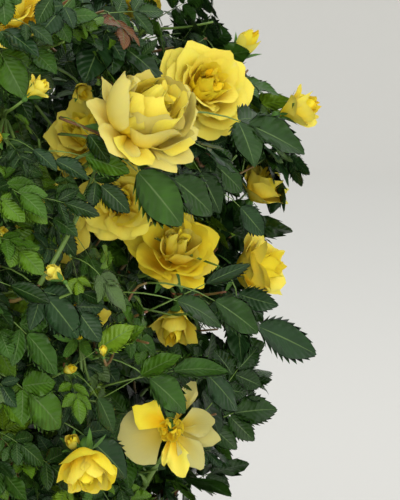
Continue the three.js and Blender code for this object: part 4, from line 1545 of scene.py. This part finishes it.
def worked_out(add, operation, source, value=None, plus=None):
    """A number worked out from a source with a fixed value, and with another source added."""
    settings = {"operation": operation} if value is None else {"operation": operation, "1": value}
    links = dict(i0=source) if plus is None else dict(i0=source, i2=plus)
    return add("ShaderNodeMath", settings, **links)[0]


def mapped(add, source, low, high, to=(0.0, 1.0), **settings):
    """A number that goes from one value to another while a source goes from low to high."""
    ends = {"From Min": low, "From Max": high, "To Min": to[0], "To Max": to[1]}
    return add("ShaderNodeMapRange", {**ends, **settings}, Value=source)[0]


def two_tone(add, colour, other, share):
    """A colour that goes over into another with a share."""
    ends = {"6": (*colour, 1), "7": (*other, 1)}
    return add("ShaderNodeMix", {"data_type": "RGBA", **ends}, i0=share)[2]


def noise(add, place, scale, detail, **settings):
    """Noise over a place, with grains that are 1 / scale metres wide."""
    settings = {"Scale": scale, "Detail": detail, **settings}
    return add("ShaderNodeTexNoise", settings, Vector=place)[0]


def finish_surface(add, colour, height, strength, distance):
    """Gives the shader its colour, and the relief of a height."""
    add(None, Base_Color=colour)
    bump = add("ShaderNodeBump", {"Strength": strength, "Distance": distance}, Height=height)
    add(None, Normal=bump[0])


def leaf_material(name, code, roughness=0.32):
    """Rose leaf: a waxy upper skin over soft tissue that is raised between sunken side veins. The
    eye sees a dull gloss that breaks in stripes along the veins, a paler rib, and greens that
    differ a little from place to place."""
    material, add = new_material(name, {"Roughness": roughness, **LEAF_GLOSS})
    colour = linear(code)
    across, up = add("ShaderNodeSeparateXYZ", i0=add("ShaderNodeUVMap", {"uv_map": "blade"})[0])[:2]
    away = worked_out(add, "ABSOLUTE", worked_out(add, "SUBTRACT", across, 0.5))
    slant = worked_out(add, "MULTIPLY_ADD", away, VEIN_SLANT, up)
    ripple = worked_out(add, "SINE", worked_out(add, "MULTIPLY", slant, 2 * math.pi * LEAF_VEINS))
    rib = mapped(add, away, 0.0, 0.045, (1.0, 0.0))
    place = add("ShaderNodeTexCoord")["Object"]
    grain = noise(add, place, 900.0, 2.0)  # 1 mm
    patch = noise(add, place, 60.0, 2.0)  # 17 mm
    shade = mapped(add, patch, 0.3, 0.7, (0.8, 1.22))
    by_shade = {"data_type": "RGBA", "blend_type": "MULTIPLY", "0": 1.0, "6": (*colour, 1)}
    tint = add("ShaderNodeMix", by_shade, i7=shade)[2]
    paler = tuple(min(1, c * 1.3 + 0.02) for c in colour)
    veined = add("ShaderNodeMix", {"data_type": "RGBA", "7": (*paler, 1)}, i0=rib, i6=tint)[2]
    high = worked_out(add, "MULTIPLY_ADD", grain, 0.16, ripple)
    finish_surface(add, veined, high, 0.4, 0.0006)
    return material


def petal_material(name, pale, deep):
    """Rose petal: soft, matt and thin. Light glows through it, and its colour deepens to gold at
    the foot,
    where the petals stand close: partly the petal's own gold, partly painted shade and painted
    glow. Fine veins fan out from there."""
    material, add = new_material(name, PETAL_LOOK)
    across, up = add("ShaderNodeSeparateXYZ", i0=add("ShaderNodeUVMap", {"uv_map": "blade"})[0])[:2]
    # Painted shade and glow: the gold at the foot, partly the petal's own colour, goes over into
    # the pale tone at the rim
    out = mapped(add, up, 0.12, 0.9, interpolation_type="SMOOTHSTEP")
    mixed = two_tone(add, linear(deep), linear(pale), out)
    ripple = worked_out(add, "SINE", worked_out(add, "MULTIPLY", across, 2 * math.pi * PETAL_VEINS))
    grain = noise(add, add("ShaderNodeTexCoord")["Object"], 260.0, 3.0)  # 4 mm
    finish_surface(add, mixed, worked_out(add, "MULTIPLY_ADD", grain, 1.6, ripple), 0.07, 0.0003)
    return material


def bark_material(name, colour, other, roughness, scale, depth):
    """Bark of a rose: thin, papery and rather dull. The eye sees it streaked along the stem in a
    second colour. The scale is 1000 over the width of a streak in millimetres, which is three times
    as long as wide: 90 for 11 mm, 70 for 14 mm, 55 for 18 mm and 200 for 5 mm."""
    material, add = new_material(name, {"Roughness": roughness})
    place = add("ShaderNodeTexCoord")["Object"]
    stretched = add("ShaderNodeMapping", {"Scale": (1.0, 1.0, 0.35)}, Vector=place)[0]
    streak = noise(add, stretched, scale, 5.0, Roughness=0.62)
    mixed = two_tone(add, colour, other, mapped(add, streak, 0.42, 0.62))
    finish_surface(add, mixed, streak, 0.6, depth)
    return material


@lru_cache(maxsize=1)
def leaf_materials():
    """One leaf material for each tone, and one for the pale ribs."""
    made = [leaf_material(name, code) for name, code in LEAF_TONES]
    return made + [leaf_material("leaf_rib", "#4C6631", 0.5)]


# ---------------------------------------------------------------- add-on
def colour_property(name, description, code):
    """A colour that the user may change."""
    return FloatVectorProperty(
        name=name, description=description, subtype="COLOR", default=linear(code), min=0, max=1,
    )


class RoseWoodSettings(PropertyGroup):
    """Colours of the bark."""

    bark_colour: colour_property("Bark", "Colour of the base stem's bark", "#6E5B43")
    crack_colour: colour_property("Cracks", "Colour of the streaks in that bark", "#3F3226")
    cane_colour: colour_property("Canes", "Colour of the canes' skin", "#5C7437")
    cane_streaks: colour_property("Cane streaks", "Colour of the streaks on the canes", "#6F6238")
    shoot_colour: colour_property("Shoots", "Colour of the green shoots' skin", "#6C8A3C")


class RoseBloomSettings(PropertyGroup):
    """Detail of the petals."""

    petal_rows: IntProperty(
        name="Petal rows", description="Rows of points along a petal of an open bloom",
        default=9, min=4, max=24,
    )
    petal_columns: IntProperty(
        name="Petal columns", description="Columns of points across a petal",
        default=9, min=5, max=25,
    )


class RoseStageSettings(PropertyGroup):
    """The floor, the light and the camera."""

    floor_colour: colour_property("Floor", "Colour of the pale floor and its sweep", "#E6E4DF")
    focal_length: FloatProperty(
        name="Focal length", description="Of the camera's lens, for a 36 mm sensor",
        default=93.3, min=10, unit="CAMERA",
    )
    key_power: FloatProperty(
        name="Key light", description="Power of the soft light above", default=28.0, unit="POWER",
    )
    sky_strength: FloatProperty(
        name="Sky", description="Strength of the even light from all sides", default=0.95,
    )


class ROSE_OT_base_stem(Operator):
    """Makes the base stem with its bark"""

    bl_idname = "rose_bush.base_stem"
    bl_label = "Base stem"

    def execute(self, context):
        wood = context.scene.rose_wood
        colours = wood.bark_colour, wood.crack_colour
        # Old bark: dull grey-brown, darker along its cracks
        bark = bark_material("grey_brown_bark", *colours, 0.88, 90.0, 0.0012)
        add_piece("base_stem_bark", base_stem_shell(), [bark], "bark", ["base_stem"])
        return {"FINISHED"}


class ROSE_OT_canes(Operator):
    """Makes the canes that rise from the base stem"""

    bl_idname = "rose_bush.canes"
    bl_label = "Canes"

    def execute(self, context):
        wood = context.scene.rose_wood
        colours = wood.cane_colour, wood.cane_streaks
        # Young bark: smooth and slightly glossy, green with brownish stretches
        bark = bark_material("green_cane_bark", *colours, 0.5, 55.0, 0.0005)
        names = [cane["name"] for cane in plant().canes]
        add_piece("canes_bark", canes_shell(), [bark], "cane", names)
        return {"FINISHED"}


class ROSE_OT_shoots(Operator):
    """Makes stems, shoots, twigs and leaf stalks"""

    bl_idname = "rose_bush.shoots"
    bl_label = "Shoots"

    def execute(self, context):
        # The skin of shoots: juicy green, or flushed red where the sun gets at it
        greens = context.scene.rose_wood.shoot_colour, linear("#5A7A33")
        green = bark_material("green_shoot_skin", *greens, 0.45, 70.0, 0.0003)
        reds = linear("#7A6A38"), linear("#7E5236")
        red = bark_material("reddish_shoot_skin", *reds, 0.45, 70.0, 0.0003)
        add_piece("shoots", shoots_shell(), [green, red], "foliage")
        _, lines, lengths = blades_and_stalks()
        stalks = tubes(lines, STALK_RADII * lengths[:, None], 3)
        add_piece("leaf_stalks", stalks, [green], "foliage")
        return {"FINISHED"}


class ROSE_OT_prickles(Operator):
    """Makes the prickles on canes, stems and shoots"""

    bl_idname = "rose_bush.prickles"
    bl_label = "Prickles"

    def execute(self, context):
        # Horn: hard and smooth, in fine streaks of two reddish browns
        browns = linear("#A0633C"), linear("#7E3F2A")
        horn = bark_material("prickle_horn", *browns, 0.5, 200.0, 0.0002)
        add_piece("prickles", prickles_shell(), [horn], "cane")
        return {"FINISHED"}


class ROSE_OT_leaves(Operator):
    """Makes the leaflets, one piece for each mass of foliage"""

    bl_idname = "rose_bush.leaves"
    bl_label = "Leaves"

    def execute(self, context):
        blades, _, _ = blades_and_stalks()
        for k, cane in enumerate(plant().canes):
            own = leaflets_shell(chosen_rows(blades, blades["mass"] == k))
            name = cane["mass"].replace("foliage", "leaves")
            add_piece(name, own, leaf_materials(), "foliage", [cane["mass"]])
        return {"FINISHED"}


class ROSE_OT_blooms(Operator):
    """Makes petals, sepals, hips and stamens"""

    bl_idname = "rose_bush.blooms"
    bl_label = "Blooms"

    def execute(self, context):
        settings = context.scene.rose_blooms
        tones = [petal_material(*tone) for tone in PETAL_TONES]
        detail = petal_arrays()["detail"]
        rows, columns = settings.petal_rows, settings.petal_columns
        for name, level, size in (
            ("front_petals", 2, (rows + 4, columns + 6)),
            ("other_petals", 1, (rows, columns)),
            ("bud_petals", 0, BUD_GRID),
        ):
            add_piece(name, petals_shell(detail == level, *size), tones, "foliage")
        # Sepals and hips: fresh green, with less gloss than the leaves
        green = leaf_material("sepal_green", "#4F7A30", 0.5)
        add_piece("sepals", sepals_shell(), [green], "foliage")
        add_piece("hips", hips_shell(), [green], "foliage")
        # Anthers: matt with pollen, amber
        anther = petal_material("anther_amber", "#C98A1C", "#A85A12")
        add_piece("stamens", stamens_shell(), [anther], "foliage")
        return {"FINISHED"}


# The stage: the flat floor's radius, how far out and up its sweep goes, how low it lies, and the
# lights with place, size, power as a share of the main one's, and colour
FLOOR_RADIUS = 9
SWEEP_OUT, SWEEP_UP = 3.5, 4.5
FLOOR_DROP = 0.0005
FLOOR_GRID = (40, 96)
LIGHTS = [
    ("key_light", KEY_PLACE, 2.8, 1.0, "#FFF8F0"),
    ("front_light", (0.9, -4.0, 1.5), 2.4, 2.0, "#FFFAF4"),
    ("side_light", (2.6, -2.3, 2.9), 2.6, 0.85, "#FFFAF4"),
    ("top_light", (0.6, 0.4, 4.2), 3.0, 0.56, "#F2F6FF"),
]
LIT_PLACE = np.array([0, 0, 0.6])


def floor_shell():
    """The floor: a flat round, and beyond it a quarter of an oval that rises all around."""
    rows, columns = FLOOR_GRID
    share = np.linspace(0, 1, rows)
    rise = np.clip(share - 0.5, 0, 1) * math.pi
    is_flat = share < 0.5
    radius = np.where(is_flat, share * 2 * FLOOR_RADIUS, FLOOR_RADIUS + SWEEP_OUT * np.sin(rise))
    height = np.where(is_flat, 0, SWEEP_UP * (1 - np.cos(rise)))
    turn = np.linspace(0, 2 * math.pi, columns, endpoint=False)
    points = around(turn[None], np.maximum(radius, 0.001)[:, None], height[:, None])
    points[..., 2] -= FLOOR_DROP
    return Shell(points, grid_quads(rows, columns, wraps=True))


class ROSE_OT_stage(Operator):
    """Makes the pale floor with its sweep, the soft lights and the camera"""

    bl_idname = "rose_bush.stage"
    bl_label = "Stage"

    def execute(self, context):
        settings = context.scene.rose_stage
        # Studio paper: matt, so that it shows soft shadows and no glare
        looks = {"Base Color": (*settings.floor_colour, 1), "Roughness": 0.9}
        paper, _ = new_material("pale_studio_paper", looks)
        floor = add_piece("floor_sweep", floor_shell(), [paper], None)
        for name, place, size, share, colour in LIGHTS:
            light = bpy.data.lights.new(name, "AREA")
            light.size = size
            light.energy = settings.key_power * share
            light.color = linear(colour)
            lamp = bpy.data.objects.new(name, light)
            lamp.location = place
            toward = unit(LIT_PLACE - np.array(place))
            azimuth = math.atan2(toward[1], toward[0])
            lamp.rotation_euler = (math.acos(-toward[2]), 0, azimuth - math.pi / 2)
            context.scene.collection.objects.link(lamp)
        world = bpy.data.worlds.new("even_sky")
        world.use_nodes = True
        background = world.node_tree.nodes["Background"]
        background.inputs[0].default_value = (*linear("#EEF0F0"), 1)
        background.inputs[1].default_value = settings.sky_strength
        context.scene.world = world
        context.scene.view_settings.view_transform = "Standard"
        camera = bpy.data.objects.new("camera", bpy.data.cameras.new("camera"))
        camera.data.lens = settings.focal_length
        camera.data.sensor_width = 36
        camera.data.clip_end = 100
        camera.location = VIEWER
        camera.rotation_euler = (math.radians(90 + VIEWER_PITCH), 0, 0)
        context.scene.collection.objects.link(camera)
        context.scene.camera = camera
        return {"FINISHED"}


GROUPS = {
    "rose_wood": RoseWoodSettings,
    "rose_blooms": RoseBloomSettings,
    "rose_stage": RoseStageSettings,
}
OPERATORS = [
    ROSE_OT_stage,
    ROSE_OT_base_stem,
    ROSE_OT_canes,
    ROSE_OT_shoots,
    ROSE_OT_prickles,
    ROSE_OT_leaves,
    ROSE_OT_blooms,
]


class ROSE_PT_panel(Panel):
    """Lists the rose bush's pieces"""

    bl_idname = "ROSE_PT_panel"
    bl_label = "Rose bush"
    bl_space_type = "VIEW_3D"
    bl_region_type = "UI"
    bl_category = "Rose bush"

    def draw(self, context):
        for operator in OPERATORS:
            self.layout.operator(operator.bl_idname)
        for name, group in GROUPS.items():
            for setting in group.__annotations__:
                self.layout.prop(getattr(context.scene, name), setting)


def register():
    """Adds the settings, the operators and the panel."""
    for name, group in GROUPS.items():
        bpy.utils.register_class(group)
        setattr(bpy.types.Scene, name, PointerProperty(type=group))
    for part in [*OPERATORS, ROSE_PT_panel]:
        bpy.utils.register_class(part)


def unregister():
    """Takes them away again."""
    for part in [ROSE_PT_panel, *reversed(OPERATORS)]:
        bpy.utils.unregister_class(part)
    for name, group in GROUPS.items():
        delattr(bpy.types.Scene, name)
        bpy.utils.unregister_class(group)


def main():
    register()
    for operator in OPERATORS:
        group, name = operator.bl_idname.split(".")
        getattr(getattr(bpy.ops, group), name)()


if __name__ == "__main__":
    main()
